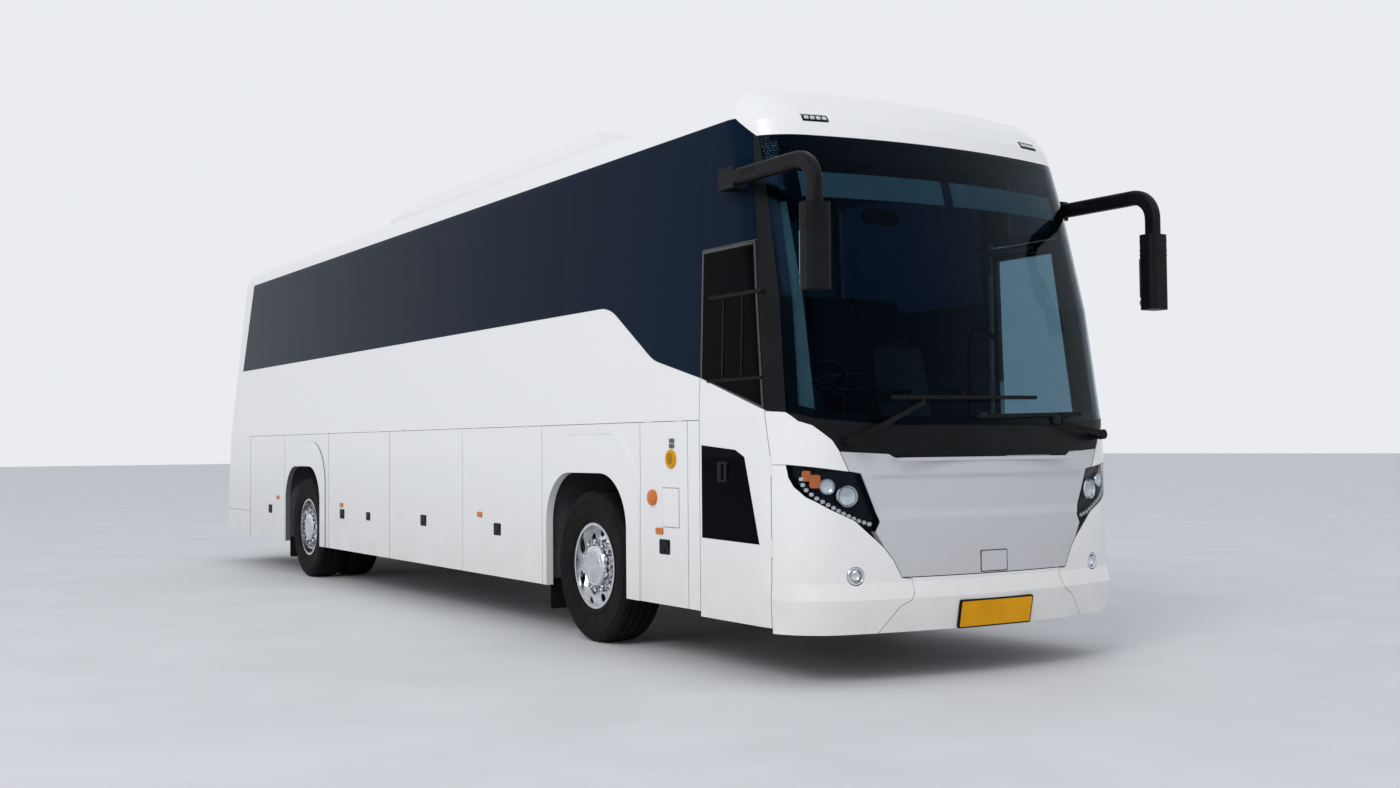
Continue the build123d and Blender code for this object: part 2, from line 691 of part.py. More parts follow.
under_roof = block(-SIDE_OUT, SIDE_OUT, NOSE_Y, FRONT_AXLE_Y, 0, SCREEN_TOP_Z - SEAM / 2)
surround += (nose_backing & frame_ring) & under_roof
surround += front_piece(nose_skin, cowl_outline, SEAM / 2)
quarter_tool = prism_y(quarter_outline, NOSE_Y, FRONT_AXLE_Y)
for tool in (quarter_tool, *flip(quarter_tool)):
    surround -= tool
quarter = front_piece(nose_skin, quarter_outline, SEAM / 2)
corner = front_piece(nose_skin, corner_outline, SEAM / 2)
centre = front_piece(nose_skin, centre_outline, SEAM / 2)
lid = front_piece(nose_skin, bonnet_outline, GAP / 2)

# Front lamps, set into the panels, and the hinge pins of both doors
FOG_X = 906
FOG_Z = 600
FOG_RADIUS = 52
LAMP_DEPTH = 30
DOOR_HINGE_X = BODY_HALF - 6
DOOR_HINGE_ZS = (700, 1150)
DOOR_HINGE_LENGTH = 110


def fog_bore(radius):
    """Bar through the left bumper corner for the fog lamp."""
    middle = Pos(FOG_X, FRONT_AXLE_Y - FRONT_OVERHANG / 2, FOG_Z)
    return middle * Rot(90, 0, 0) * Cylinder(radius, FRONT_OVERHANG + OVERRUN)


fog = meet(nose_skin, fog_bore(FOG_RADIUS - SEAM / 2))
corner = [solid - fog_bore(FOG_RADIUS) for solid in corner]
lamp = front_piece(nose_skin, lamp_outline, SEAM / 2)
marker = meet(front_pane, marker_box(SEAM / 2))
door_pins = []
for z in DOOR_HINGE_ZS:
    pin = post(DOOR_HINGE_X, DOOR_FRONT_Y, z, z + DOOR_HINGE_LENGTH, HINGE_PIN)
    tab_y = (DOOR_FRONT_Y - GAP - SEAM, DOOR_FRONT_Y)
    tab = block(DOOR_HINGE_X - WALL / 2, DOOR_HINGE_X, *tab_y, z, z + DOOR_HINGE_LENGTH)
    door_pins += [pin, tab]
hinged_corner = flip(*corner)[0]
for pin in door_pins:
    hinged_corner += flip(pin)[0]
write("front_panels", quarter, flip(*quarter), corner, hinged_corner, centre)
write("front_lamps", lamp, flip(*lamp), fog, flip(*fog), marker, flip(*marker))

# Tail: wall with bumper, window, lamps and engine lid
REAR_WINDOW_HALF = 1000
REAR_WINDOW_FOOT_Z = 2250
REAR_WINDOW_TOP_Z = 3050
REAR_WINDOW_RADIUS = 90
LID_HALF = 880
LID_FOOT_Z = 640
LID_TOP_Z = 1560
LID_RADIUS = 60
REAR_LAMP_IN = 985
REAR_LAMP_OUT = 1175
REAR_LAMP_FOOT_Z = 800
REAR_LAMP_TOP_Z = 1520
REAR_SILL_Z = 430
REAR_BUMPER_Z = 620

tail_region = prism_x(
    [
        (ENGINE_FLAP_Y + GAP / 2, SKIRT_Z),
        (ENGINE_FLAP_Y + GAP / 2, WAIST_Z),
        (tail_y(WAIST_Z) + SEAT_GAP, WAIST_Z),
        (tail_y(SKY_Z) + SEAT_GAP, SKY_Z),
        (TAIL_END_Y, SKY_Z),
        (TAIL_END_Y, REAR_SILL_Z),
    ],
    -SIDE_OUT,
    SIDE_OUT,
)


def rear_box(half, z0, z1, radius):
    """Points of a round-cornered panel on the tail."""
    return [(-half, z0, radius), (-half, z1, radius), (half, z1, radius), (half, z0, radius)]


def rear_piece(shape, points, gap):
    """Part of a tail layer under a rear outline."""
    return meet(shape, prism_y(points, REAR_PANEL_Y, TAIL_END_Y, gap))


def rear_tool(points, gap=0):
    """Cutter through the tail for a rear outline."""
    return prism_y(points, BODY_REAR_Y - TAIL_RAKE, TAIL_END_Y, gap)


rear_window = rear_box(REAR_WINDOW_HALF, REAR_WINDOW_FOOT_Z, REAR_WINDOW_TOP_Z, REAR_WINDOW_RADIUS)
lid_outline = rear_box(LID_HALF, LID_FOOT_Z, LID_TOP_Z, LID_RADIUS)
rear_lamp = [
    (REAR_LAMP_IN, REAR_LAMP_FOOT_Z),
    (REAR_LAMP_IN, REAR_LAMP_TOP_Z),
    (REAR_LAMP_OUT, REAR_LAMP_TOP_Z),
    (REAR_LAMP_OUT, REAR_LAMP_FOOT_Z),
]
tail = rear_skin & tail_region
seat_layer = rear_outer - rear_seat_line
tail -= seat_layer & rear_tool(rear_window)
tail -= rear_tool(rear_window, WINDOW_MARGIN)
tail -= rear_tool(lid_outline)
for points in (rear_lamp, [(-x, z) for x, z in rear_lamp[::-1]]):
    tail -= seat_layer & rear_tool(points)
tail_panes = rear_pane & tail_region
write("rear_window", meet(tail_panes, rear_tool(rear_window, SEAM / 2)))
rear_lamps = meet(tail_panes, rear_tool(rear_lamp, SEAM / 2))
write("rear_lamps", rear_lamps, flip(*rear_lamps))
write("engine_lid", meet(rear_skin & tail_region, rear_tool(lid_outline, GAP)))
# Hinge pins of the engine lid, on tabs in the gap over its top edge
LID_PIN_X = 500
LID_SETBACK = 176
lid_axis_y = BODY_REAR_Y - LID_SETBACK + HINGE_STAND
lid_axis_z = LID_TOP_Z - GAP / 2
for x in (-LID_PIN_X, LID_PIN_X):
    tail += rod(x - HINGE_TAB / 2, x + HINGE_TAB / 2, lid_axis_y, lid_axis_z, HINGE_PIN)
    tail += block(
        x - HINGE_TAB / 2, x + HINGE_TAB / 2, lid_axis_y - WALL, lid_axis_y, lid_axis_z, lid_axis_z + GAP + SEAM
    )
tail_parts = []
for z0, z1 in ((SKIRT_Z - OVERRUN, REAR_BUMPER_Z - SEAM / 2), (REAR_BUMPER_Z + SEAM / 2, SKY_Z)):
    tail_parts += meet(tail, block(-SIDE_OUT, SIDE_OUT, ENGINE_FLAP_Y, TAIL_END_Y, z0, z1))
write("rear_wall", tail_parts)

# Driver's door on the right, passenger door on the left
DOOR_GLASS_EDGE = 22
DOOR_GLASS_MARGIN = 70
INSERT_SHARES = [(0.03, 0.868), (0.53, 0.843), (0.66, 0.807), (0.86, 0.375), (0.03, 0.385)]
PASSENGER_GLASS_FOOT_Z = 930


def door_outline(back_y, top_z):
    """Outline in (y, z) of a door whose front edge follows the windscreen pillar."""
    lean = (top_z - DOOR_TOP_Z) / (SCREEN_TOP_Z - DOOR_TOP_Z)
    top_setback = DOOR_SETBACK_TOP + lean * (PILLAR_TOP_SETBACK - DOOR_SETBACK_TOP)
    return [
        (DOOR_FRONT_Y, DOOR_FOOT_Z),
        (back_y, DOOR_FOOT_Z),
        (back_y, top_z),
        (DOOR_FRONT_Y + top_setback, top_z),
        (DOOR_FRONT_Y + DOOR_SETBACK_LOW, DOOR_LEAN_Z),
        (DOOR_FRONT_Y, DOOR_KNEE_Z),
    ]


def door(back_y, top_z, panes):
    """Left door leaf with its glass: panes are bonded over it, and the window is cut behind the first."""
    tool = prism_x(door_outline(back_y, top_z), 0, SIDE_OUT, GAP / 2)
    leaf = front_skin & tool
    layer = front_outer - front_seat_line
    glass = []
    for points in panes:
        leaf -= layer & tool & prism_x(points, 0, SIDE_OUT)
        glass += meet(front_pane & tool, prism_x(points, 0, SIDE_OUT, SEAM / 2))
    leaf -= prism_x(panes[0], 0, SIDE_OUT, DOOR_GLASS_MARGIN)
    return leaf, glass


def leaf_points(back_y, foot_back_z, foot_front_z, top_z):
    """Black area of a door above a sloping line, a little inside the leaf."""
    points = door_outline(back_y, top_z - DOOR_GLASS_EDGE)
    return [
        (points[4][0] + DOOR_GLASS_EDGE, foot_front_z),
        (back_y - DOOR_GLASS_EDGE, foot_back_z),
        (back_y - DOOR_GLASS_EDGE, points[2][1]),
        (points[3][0] + DOOR_GLASS_EDGE, points[3][1]),
    ]


driver_pane = leaf_points(DOOR_BACK_Y, SWEEP_END_Z, SWEEP_FRONT_Z + DOOR_GLASS_EDGE, DOOR_TOP_Z)
insert = [(DOOR_BACK_Y - x * DRIVER_DOOR_LENGTH, SKIRT_Z + z * (WAIST_Z - SKIRT_Z)) for x, z in INSERT_SHARES]
driver_leaf, driver_glass = door(DOOR_BACK_Y, DOOR_TOP_Z, (driver_pane, insert))
write("driver_door", flip(driver_leaf))
write("driver_door_glass", flip(*driver_glass))
passenger_pane = leaf_points(
    PASSENGER_BACK_Y, PASSENGER_GLASS_FOOT_Z, PASSENGER_GLASS_FOOT_Z, PASSENGER_DOOR_TOP_Z
)
passenger_pane[0] = (DOOR_FRONT_Y + DOOR_GLASS_EDGE + GAP, PASSENGER_GLASS_FOOT_Z)
passenger_pane.append((DOOR_FRONT_Y + DOOR_SETBACK_LOW + DOOR_GLASS_EDGE, DOOR_LEAN_Z))
passenger_pane.append((DOOR_FRONT_Y + DOOR_GLASS_EDGE + GAP, DOOR_KNEE_Z))
passenger_leaf, passenger_glass = door(PASSENGER_BACK_Y, PASSENGER_DOOR_TOP_Z, (passenger_pane,))

# Swing arm of the passenger door: a post inside the rear jamb with two cranked arms
ARM_POST_RADIUS = 22
ARM_POST_X = 1150
ARM_POST_BACK = 75
ARM_REACH = 430
ARM_OUT = -15
ARM_CRANK_AHEAD = 110
ARM_CRANK_IN = 170
ARM_WIDTH = 36
ARM_THICK = 20
ARM_COLLAR = 4
ARM_ZS = (600, 2600)
ARM_TOP_Z = 2650
CAB_FLOOR_Z = 920
STEP_COUNT = 2
step_rise = (CAB_FLOOR_Z - SKIRT_Z) / (STEP_COUNT + 1)
ARM_FOOT_Z = CAB_FLOOR_Z - STEP_COUNT * step_rise + SEAT_GAP
arm_post_y = PASSENGER_BACK_Y - ARM_POST_BACK
arm_end = (ARM_POST_X + ARM_OUT, arm_post_y - ARM_REACH)
arm_knee = (ARM_POST_X - ARM_CRANK_IN, arm_post_y - ARM_CRANK_AHEAD)


def bar(start, end, width, z0, z1):
    """Flat bar between two points of a plan view, with round ends."""
    length = sqrt((end[0] - start[0]) ** 2 + (end[1] - start[1]) ** 2)
    turn = degrees(atan2(end[1] - start[1], end[0] - start[0]))
    middle = Pos((start[0] + end[0]) / 2, (start[1] + end[1]) / 2, (z0 + z1) / 2)
    body = middle * Rot(0, 0, turn) * Box(length, width, z1 - z0)
    for x, y in (start, end):
        body += post(x, y, z0, z1, width / 2)
    return body


arm_start = (ARM_POST_X, arm_post_y)
swing_arm = post(*arm_start, ARM_FOOT_Z, ARM_TOP_Z, ARM_POST_RADIUS)
for z in ARM_ZS:
    collar_z = (z - ARM_COLLAR, z + ARM_THICK + ARM_COLLAR)
    swing_arm += post(*arm_start, *collar_z, ARM_POST_RADIUS + ARM_COLLAR)
    swing_arm += bar(arm_start, arm_knee, ARM_WIDTH, z, z + ARM_THICK)
    swing_arm += bar(arm_knee, arm_end, ARM_WIDTH, z, z + ARM_THICK)
write("door_swing_arm", swing_arm)
# Bracket on the wall that holds the post's top
BRACKET = 26
bracket_z = (ARM_TOP_Z + SEAT_GAP, ARM_TOP_Z + BRACKET)
bracket_in = ARM_POST_X - ARM_POST_RADIUS
left_wall += block(bracket_in, ARM_POST_X + BRACKET, arm_post_y - BRACKET, PASSENGER_BACK_Y + WALL, *bracket_z)
bracket_out = half_width(ARM_TOP_Z) - WALL / 2
left_wall += block(bracket_in, bracket_out, PASSENGER_BACK_Y + GAP, PASSENGER_BACK_Y + WALL, *bracket_z)
write("side_wall_left", left_wall)
# Lugs on the door take the arm's end between them
LUG = 40
for z in ARM_ZS:
    for foot in (z - SEAT_GAP - ARM_THICK, z + ARM_THICK + SEAT_GAP):
        lug_y = (arm_end[1] - LUG / 2, arm_end[1] + LUG / 2)
        lug = block(arm_end[0] - LUG / 2, BODY_HALF - WALL / 2, *lug_y, foot, foot + ARM_THICK)
        passenger_leaf += lug & tunnel(WALL / 2, DOOR_FRONT_Y, PASSENGER_BACK_Y)
write("passenger_door", passenger_leaf)
write("passenger_door_glass", passenger_glass)


# Fixed panel and glass above each door
def over_door(top_z):
    """Left panel above a door, and its glass."""
    lean = (top_z - DOOR_TOP_Z) / (SCREEN_TOP_Z - DOOR_TOP_Z)
    front_y = DOOR_FRONT_Y + DOOR_SETBACK_TOP + lean * (PILLAR_TOP_SETBACK - DOOR_SETBACK_TOP)
    points = [
        (DOOR_BACK_Y, top_z + SEAM / 2),
        (DOOR_BACK_Y, RIBBON_TOP_Z),
        (CAP_HIGH_Y, RIBBON_TOP_Z),
        (CAP_LOW_Y, SCREEN_TOP_Z),
        (DOOR_FRONT_Y + PILLAR_TOP_SETBACK, SCREEN_TOP_Z),
        (front_y, top_z + SEAM / 2),
    ]
    tool = prism_x(points, 0, SIDE_OUT, SEAT_GAP / 2)
    panel = front_backing & tool
    panel -= prism_x(points, 0, SIDE_OUT, WINDOW_MARGIN)
    return panel, meet(front_pane, prism_x(points, 0, SIDE_OUT, SEAM / 2))


right_over, right_over_glass = over_door(DOOR_TOP_Z)
left_over, left_over_glass = over_door(PASSENGER_DOOR_TOP_Z)
write("door_headers", flip(right_over), left_over)
write("side_glass", side_panes, flip(*right_over_glass), left_over_glass)

# Chassis
RAIL_FRONT = 2230
CROSS_MEMBER = 120
BULKHEAD = 40
# Cross-members along the front and the rear ladder, as shares of its length
FRONT_CROSS_SHARES = (0.0, 0.45, 1.0)
REAR_CROSS_SHARES = (0.0, 0.2, 0.42)
arch_bulkhead_y = ARCH_BACK_Y - GAP - BULKHEAD
hold_bulkhead_y = HOLD_BACK_Y + GAP
front_rail = (FRONT_AXLE_Y - RAIL_FRONT, arch_bulkhead_y - SEAT_GAP)
rear_rail = (hold_bulkhead_y + BULKHEAD + SEAT_GAP, BODY_REAR_Y - RIBBON_REAR_TOP)
RAIL_TOP_Z = RAIL_FOOT_Z + RAIL_HEIGHT
BEAM_TOP_Z = AXLE_Z + 60
BEAM_WIDTH = 120
SPRING_RADIUS = 36
AXLE_TUBE_RADIUS = 85
DIFF_RADIUS = 210
DIFF_HALF = 190


def ladder(y0, y1, crosses):
    """Two rails and their cross-members."""
    inner = RAIL_SPREAD - RAIL_WIDTH / 2
    half = RAIL_WIDTH / 2
    left_rail = block(RAIL_SPREAD - half, RAIL_SPREAD + half, y0, y1, RAIL_FOOT_Z, RAIL_TOP_Z)
    frame = left_rail + flip(left_rail)[0]
    for share in crosses:
        y = y0 + share * (y1 - y0 - CROSS_MEMBER)
        cross_z = (RAIL_TOP_Z - CROSS_MEMBER, RAIL_TOP_Z)
        frame += block(-inner - SEAM, inner + SEAM, y, y + CROSS_MEMBER, *cross_z)
    return frame


def springs(axle_y, seat_z):
    """Air springs between an axle's seats and the rails."""
    return [post(x, axle_y, seat_z, RAIL_FOOT_Z + SEAM, SPRING_RADIUS) for x in (-RAIL_SPREAD, RAIL_SPREAD)]


front_ladder = ladder(*front_rail, FRONT_CROSS_SHARES)
rear_ladder = ladder(*rear_rail, REAR_CROSS_SHARES)
for spring in springs(FRONT_AXLE_Y, BEAM_TOP_Z):
    front_ladder += spring
for spring in springs(REAR_AXLE_Y, AXLE_Z + AXLE_TUBE_RADIUS):
    rear_ladder += spring
write("chassis_frame", front_ladder, rear_ladder)

# Front axle: beam with kingpin eyes, two knuckles and the track rod
EYE_RADIUS = 46
EYE_HEIGHT = 110
KINGPIN_RADIUS = 20
FORK_THICK = 34
FORK_RADIUS = 52
SPINDLE_RADIUS = 45
HUB_FACE_INSET = 60
STEER_ARM_BACK = 240
STEER_ARM_IN = 90
STEER_ARM_THICK = 26
BALL_RADIUS = 24
ROD_RADIUS = 17
beam = block(
    -KINGPIN_X + EYE_RADIUS / 2,
    KINGPIN_X - EYE_RADIUS / 2,
    FRONT_AXLE_Y - BEAM_WIDTH / 2,
    FRONT_AXLE_Y + BEAM_WIDTH / 2,
    AXLE_Z - EYE_HEIGHT / 4,
    BEAM_TOP_Z,
)
fork_room = FORK_RADIUS + EYE_RADIUS
for side in (-1, 1):
    x = side * KINGPIN_X
    beam -= post(x, FRONT_AXLE_Y, AXLE_Z - EYE_HEIGHT, AXLE_Z + EYE_HEIGHT, FORK_RADIUS + KNUCKLE_GAP)
    neck = block(
        min(x, x - side * fork_room), max(x, x - side * fork_room),
        FRONT_AXLE_Y - EYE_RADIUS / 2, FRONT_AXLE_Y + EYE_RADIUS / 2,
        AXLE_Z - EYE_HEIGHT / 4, AXLE_Z + EYE_HEIGHT / 4,
    )
    beam += neck
    beam += post(x, FRONT_AXLE_Y, AXLE_Z - EYE_HEIGHT / 2, AXLE_Z + EYE_HEIGHT / 2, EYE_RADIUS)
    beam -= post(x, FRONT_AXLE_Y, AXLE_Z - EYE_HEIGHT, AXLE_Z + EYE_HEIGHT, KINGPIN_RADIUS + SEAT_GAP)
write("front_axle_beam", beam)

SPINDLE_END_X = FRONT_TRACK_X + TYRE_WIDTH / 2 - HUB_FACE_INSET
steer_ball = (KINGPIN_X - STEER_ARM_IN, FRONT_AXLE_Y + STEER_ARM_BACK)
FORK_FOOT_Z = AXLE_Z - EYE_HEIGHT / 2 - SEAT_GAP - FORK_THICK
knuckle = post(KINGPIN_X, FRONT_AXLE_Y, FORK_FOOT_Z, 2 * AXLE_Z - FORK_FOOT_Z, KINGPIN_RADIUS)
fork_face_x = KINGPIN_X + EYE_RADIUS + KNUCKLE_GAP
fork_y = (FRONT_AXLE_Y - FORK_RADIUS, FRONT_AXLE_Y + FORK_RADIUS)
for z in (FORK_FOOT_Z, 2 * AXLE_Z - FORK_FOOT_Z - FORK_THICK):
    knuckle += post(KINGPIN_X, FRONT_AXLE_Y, z, z + FORK_THICK, FORK_RADIUS)
    knuckle += block(KINGPIN_X, fork_face_x + SEAM, *fork_y, z, z + FORK_THICK)
knuckle += block(
    fork_face_x, fork_face_x + FORK_THICK, *fork_y, FORK_FOOT_Z, 2 * AXLE_Z - FORK_FOOT_Z
)
knuckle += rod(fork_face_x, SPINDLE_END_X, FRONT_AXLE_Y, AXLE_Z, SPINDLE_RADIUS)
STEER_ARM_Z = FORK_FOOT_Z - STEER_ARM_THICK
knuckle += bar((KINGPIN_X, FRONT_AXLE_Y), steer_ball, 2 * BALL_RADIUS, STEER_ARM_Z, FORK_FOOT_Z + SEAM)
knuckle -= post(KINGPIN_X, FRONT_AXLE_Y, 0, STEER_ARM_Z, TYRE_RADIUS / 2)
write("steering_knuckle_left", knuckle)
write("steering_knuckle_right", flip(knuckle))
ROD_TOP_Z = STEER_ARM_Z - SEAT_GAP
track_rod = rod(-steer_ball[0], steer_ball[0], steer_ball[1], ROD_TOP_Z - BALL_RADIUS, ROD_RADIUS)
for side in (-1, 1):
    track_rod += post(side * steer_ball[0], steer_ball[1], ROD_TOP_Z - 2 * BALL_RADIUS, ROD_TOP_Z, BALL_RADIUS)
write("track_rod", track_rod)

# Rear axle
REAR_TRACK_OUT_X = FRONT_TRACK_X
REAR_TRACK_IN_X = FRONT_TRACK_X - TWIN_SPACING
REAR_HUB_X = FRONT_TRACK_X - TWIN_SPACING / 2
rear_axle = rod(-REAR_HUB_X, REAR_HUB_X, REAR_AXLE_Y, AXLE_Z, AXLE_TUBE_RADIUS - SEAM)
rear_axle += rod(-DIFF_HALF, DIFF_HALF, REAR_AXLE_Y, AXLE_Z, DIFF_RADIUS)
for x in (-RAIL_SPREAD, RAIL_SPREAD):
    seat_y = (REAR_AXLE_Y - BEAM_WIDTH, REAR_AXLE_Y + BEAM_WIDTH)
    rear_axle += block(x - RAIL_WIDTH, x + RAIL_WIDTH, *seat_y, AXLE_Z, AXLE_Z + AXLE_TUBE_RADIUS)
write("rear_axle", rear_axle)

# Wheels
TYRE_SHOULDER = 42
BEAD_HALF = 112
FLANGE_RADIUS = 300
FLANGE_THICK = 12
BARREL_THICK = 16
DISC_THICK = 16
HUB_RADIUS = 140
HUB_RISE = 42
HAND_HOLES = 10
HAND_HOLE_RADIUS = 30
HAND_HOLE_CIRCLE = 222
STUDS = 10
STUD_CIRCLE = 167.5
STUD_RADIUS = 16
STUD_RISE = 34
FRONT_DISC_OUT = 62
REAR_DISC_OUT = 62


def ring_solid(points, x):
    """Solid turned about the wheel's axis from (axial, radius) points, centred at x."""
    face = outline(points)
    turned = revolve(Plane.XY * face, axis=Axis.X, revolution_arc=360)
    return Pos(x, 0, AXLE_Z) * turned


def tyre(x):
    """Tyre carcass with round shoulders, seated on the rim."""
    half = TYRE_WIDTH / 2
    points = [
        (-BEAD_HALF, RIM_RADIUS),
        (-BEAD_HALF, FLANGE_RADIUS + SEAT_GAP),
        (-half, (RIM_RADIUS + TYRE_RADIUS) / 2 - TYRE_SHOULDER, TYRE_SHOULDER),
        (-half + TYRE_SHOULDER / 3, TYRE_RADIUS, TYRE_SHOULDER / 2),
        (half - TYRE_SHOULDER / 3, TYRE_RADIUS, TYRE_SHOULDER / 2),
        (half, (RIM_RADIUS + TYRE_RADIUS) / 2 - TYRE_SHOULDER, TYRE_SHOULDER),
        (BEAD_HALF, FLANGE_RADIUS + SEAT_GAP),
        (BEAD_HALF, RIM_RADIUS),
    ]
    return ring_solid(points, x)


def rim(x, disc_out, facing):
    """Disc wheel: barrel with flanges and a disc with hand holes, its face toward +X or -X."""
    inside = RIM_RADIUS - BARREL_THICK
    edge = BEAD_HALF + FLANGE_THICK
    barrel = [
        (-edge, inside),
        (-edge, FLANGE_RADIUS),
        (-BEAD_HALF - SEAT_GAP, FLANGE_RADIUS),
        (-BEAD_HALF - SEAT_GAP, RIM_RADIUS - SEAT_GAP),
        (BEAD_HALF + SEAT_GAP, RIM_RADIUS - SEAT_GAP),
        (BEAD_HALF + SEAT_GAP, FLANGE_RADIUS),
        (edge, FLANGE_RADIUS),
        (edge, inside),
    ]
    wheel = ring_solid(barrel, x)
    face = facing * disc_out
    back = facing * (disc_out - DISC_THICK)
    knee = facing * (disc_out - 2 * DISC_THICK)
    disc = [
        (back, 0),
        (back, HUB_RADIUS + HAND_HOLE_RADIUS),
        (knee, inside + SEAM),
        (knee + facing * DISC_THICK, inside + SEAM),
        (face, HUB_RADIUS + HAND_HOLE_RADIUS),
        (face, 0),
    ]
    wheel += ring_solid(disc, x)
    for i in range(HAND_HOLES):
        turn = 2 * pi * (i + 1 / 2) / HAND_HOLES
        y = HAND_HOLE_CIRCLE * cos(turn)
        z = AXLE_Z + HAND_HOLE_CIRCLE * sin(turn)
        reach = sorted((x + facing * disc_out * 2, x + facing * (disc_out - 4 * DISC_THICK)))
        wheel -= rod(*reach, y, z, HAND_HOLE_RADIUS)
    return wheel


def studs(x, disc_out, facing):
    """Hub cap and wheel nuts on the outer face."""
    reach = sorted((x + facing * (disc_out - DISC_THICK), x + facing * (disc_out + HUB_RISE)))
    parts = rod(*reach, 0, AXLE_Z, HUB_RADIUS)
    for i in range(STUDS):
        turn = 2 * pi * i / STUDS
        ends = sorted((x + facing * (disc_out - DISC_THICK), x + facing * (disc_out + STUD_RISE)))
        parts += rod(*ends, STUD_CIRCLE * cos(turn), AXLE_Z + STUD_CIRCLE * sin(turn), STUD_RADIUS)
    return parts


hub_bore = rod(0, SPINDLE_END_X + SEAT_GAP, 0, AXLE_Z, SPINDLE_RADIUS + SEAT_GAP)
front_wheel = rim(FRONT_TRACK_X, FRONT_DISC_OUT, 1) + studs(FRONT_TRACK_X, FRONT_DISC_OUT, 1) - hub_bore
front_wheel = Pos(0, FRONT_AXLE_Y, 0) * front_wheel
write("front_wheel_left", front_wheel)
write("front_wheel_right", flip(front_wheel))
front_tyre = Pos(0, FRONT_AXLE_Y, 0) * tyre(FRONT_TRACK_X)
write("front_tyre_left", front_tyre)
write("front_tyre_right", flip(front_tyre))

rear_wheel = rim(REAR_TRACK_OUT_X, REAR_DISC_OUT, -1) + rim(REAR_TRACK_IN_X, REAR_DISC_OUT, 1)
disc_reach = (REAR_TRACK_IN_X + REAR_DISC_OUT - DISC_THICK, REAR_TRACK_OUT_X - REAR_DISC_OUT + DISC_THICK)
rear_wheel += rod(*disc_reach, 0, AXLE_Z, HUB_RADIUS + HAND_HOLE_RADIUS)
rear_wheel += rod(disc_reach[1] - DISC_THICK, REAR_TRACK_OUT_X + HUB_RISE, 0, AXLE_Z, HUB_RADIUS)
rear_wheel -= rod(0, REAR_HUB_X + SEAT_GAP, 0, AXLE_Z, AXLE_TUBE_RADIUS)
rear_wheel = Pos(0, REAR_AXLE_Y, 0) * rear_wheel
write("rear_wheel_left", rear_wheel)
write("rear_wheel_right", flip(rear_wheel))
rear_tyres = [Pos(0, REAR_AXLE_Y, 0) * tyre(x) for x in (REAR_TRACK_OUT_X, REAR_TRACK_IN_X)]
write("rear_tyres_left", *rear_tyres)
write("rear_tyres_right", flip(*rear_tyres))

# Floors and bulkheads
CAB_BACK = 1140
CAB_EDGE_GAP = 21
STEPWELL_X = 520
AISLE_HALF = 230
HOLD_POST = 60
floor_half = BODY_HALF - WALL - DECK_EDGE_GAP
cab_half = BODY_HALF - WALL - CAB_EDGE_GAP
skirt_in = BODY_HALF - WALL
cab_front_y = DOOR_FRONT_Y - GAP
cab_back_y = FRONT_AXLE_Y - CAB_BACK
left_bulkhead_y = PASSENGER_BACK_Y + GAP
deck_foot = DECK_Z - DECK_THICK
cab_foot = CAB_FLOOR_Z - CAB_FLOOR_THICK
floor = block(-floor_half, floor_half, cab_back_y, TAIL_Y, deck_foot, DECK_Z)
floor += block(AISLE_HALF, floor_half, left_bulkhead_y, cab_back_y + SEAM, deck_foot, DECK_Z)
floor += rear_core & block(-SIDE_OUT, SIDE_OUT, TAIL_Y, TAIL_END_Y, deck_foot, DECK_Z)
# Front face, then the reach across and the top of each upright wall
bulkheads = [
    (FRONT_AXLE_Y - ARCH_PANEL_AHEAD + GAP, -skirt_in, skirt_in, deck_foot + SEAM),
    (arch_bulkhead_y, -skirt_in, skirt_in, deck_foot + SEAM),
    (hold_bulkhead_y, -skirt_in, skirt_in, deck_foot + SEAM),
    (REAR_PANEL_Y - GAP - BULKHEAD, -skirt_in, skirt_in, deck_foot + SEAM),
    (ENGINE_FLAP_Y + GAP, -skirt_in, skirt_in, deck_foot + SEAM),
    (DOOR_BACK_Y + GAP + BULKHEAD, -skirt_in, 0, cab_foot + SEAM),
    (left_bulkhead_y, AISLE_HALF, skirt_in, deck_foot + SEAM),
]
for y, x0, x1, top in bulkheads:
    floor += block(x0, x1, y, y + BULKHEAD, SKIRT_Z + WALL, top)
engine_door = block(-LID_HALF, LID_HALF, ENGINE_FLAP_Y, ENGINE_FLAP_Y + GAP + BULKHEAD + SEAM, 0, deck_foot)
floor -= engine_door
hold_half = floor_half - GAP
hold_y = (ARCH_BACK_Y - GAP - SEAM, HOLD_BACK_Y + GAP + SEAM)
floor += block(-hold_half, hold_half, *hold_y, HOLD_FLOOR_Z - BULKHEAD, HOLD_FLOOR_Z)
for y in flap_joints[1:-1]:
    for x0 in (-hold_half, hold_half - HOLD_POST):
        post_reach = (y - HOLD_POST / 2, y + HOLD_POST / 2)
        floor += block(x0, x0 + HOLD_POST, *post_reach, HOLD_FLOOR_Z - SEAM, deck_foot + SEAM)
floor += block(-cab_half, cab_half, cab_front_y, left_bulkhead_y + SEAM, cab_foot, CAB_FLOOR_Z)
floor += block(-cab_half, AISLE_HALF, left_bulkhead_y, cab_back_y + SEAM, cab_foot, CAB_FLOOR_Z)
floor += block(-floor_half, AISLE_HALF, cab_back_y, cab_back_y + BULKHEAD, cab_foot, DECK_Z)
floor += block(AISLE_HALF, AISLE_HALF + BULKHEAD, left_bulkhead_y, cab_back_y + BULKHEAD, cab_foot, DECK_Z)
side_reach = (DOOR_BACK_Y + GAP + BULKHEAD, cab_back_y + SEAM)
floor += block(-floor_half, -floor_half + BULKHEAD, *side_reach, cab_foot, DECK_Z)
mid_step_z = (CAB_FLOOR_Z + DECK_Z) / 2
mid_step_y = (cab_back_y - AISLE_HALF, cab_back_y + SEAM)
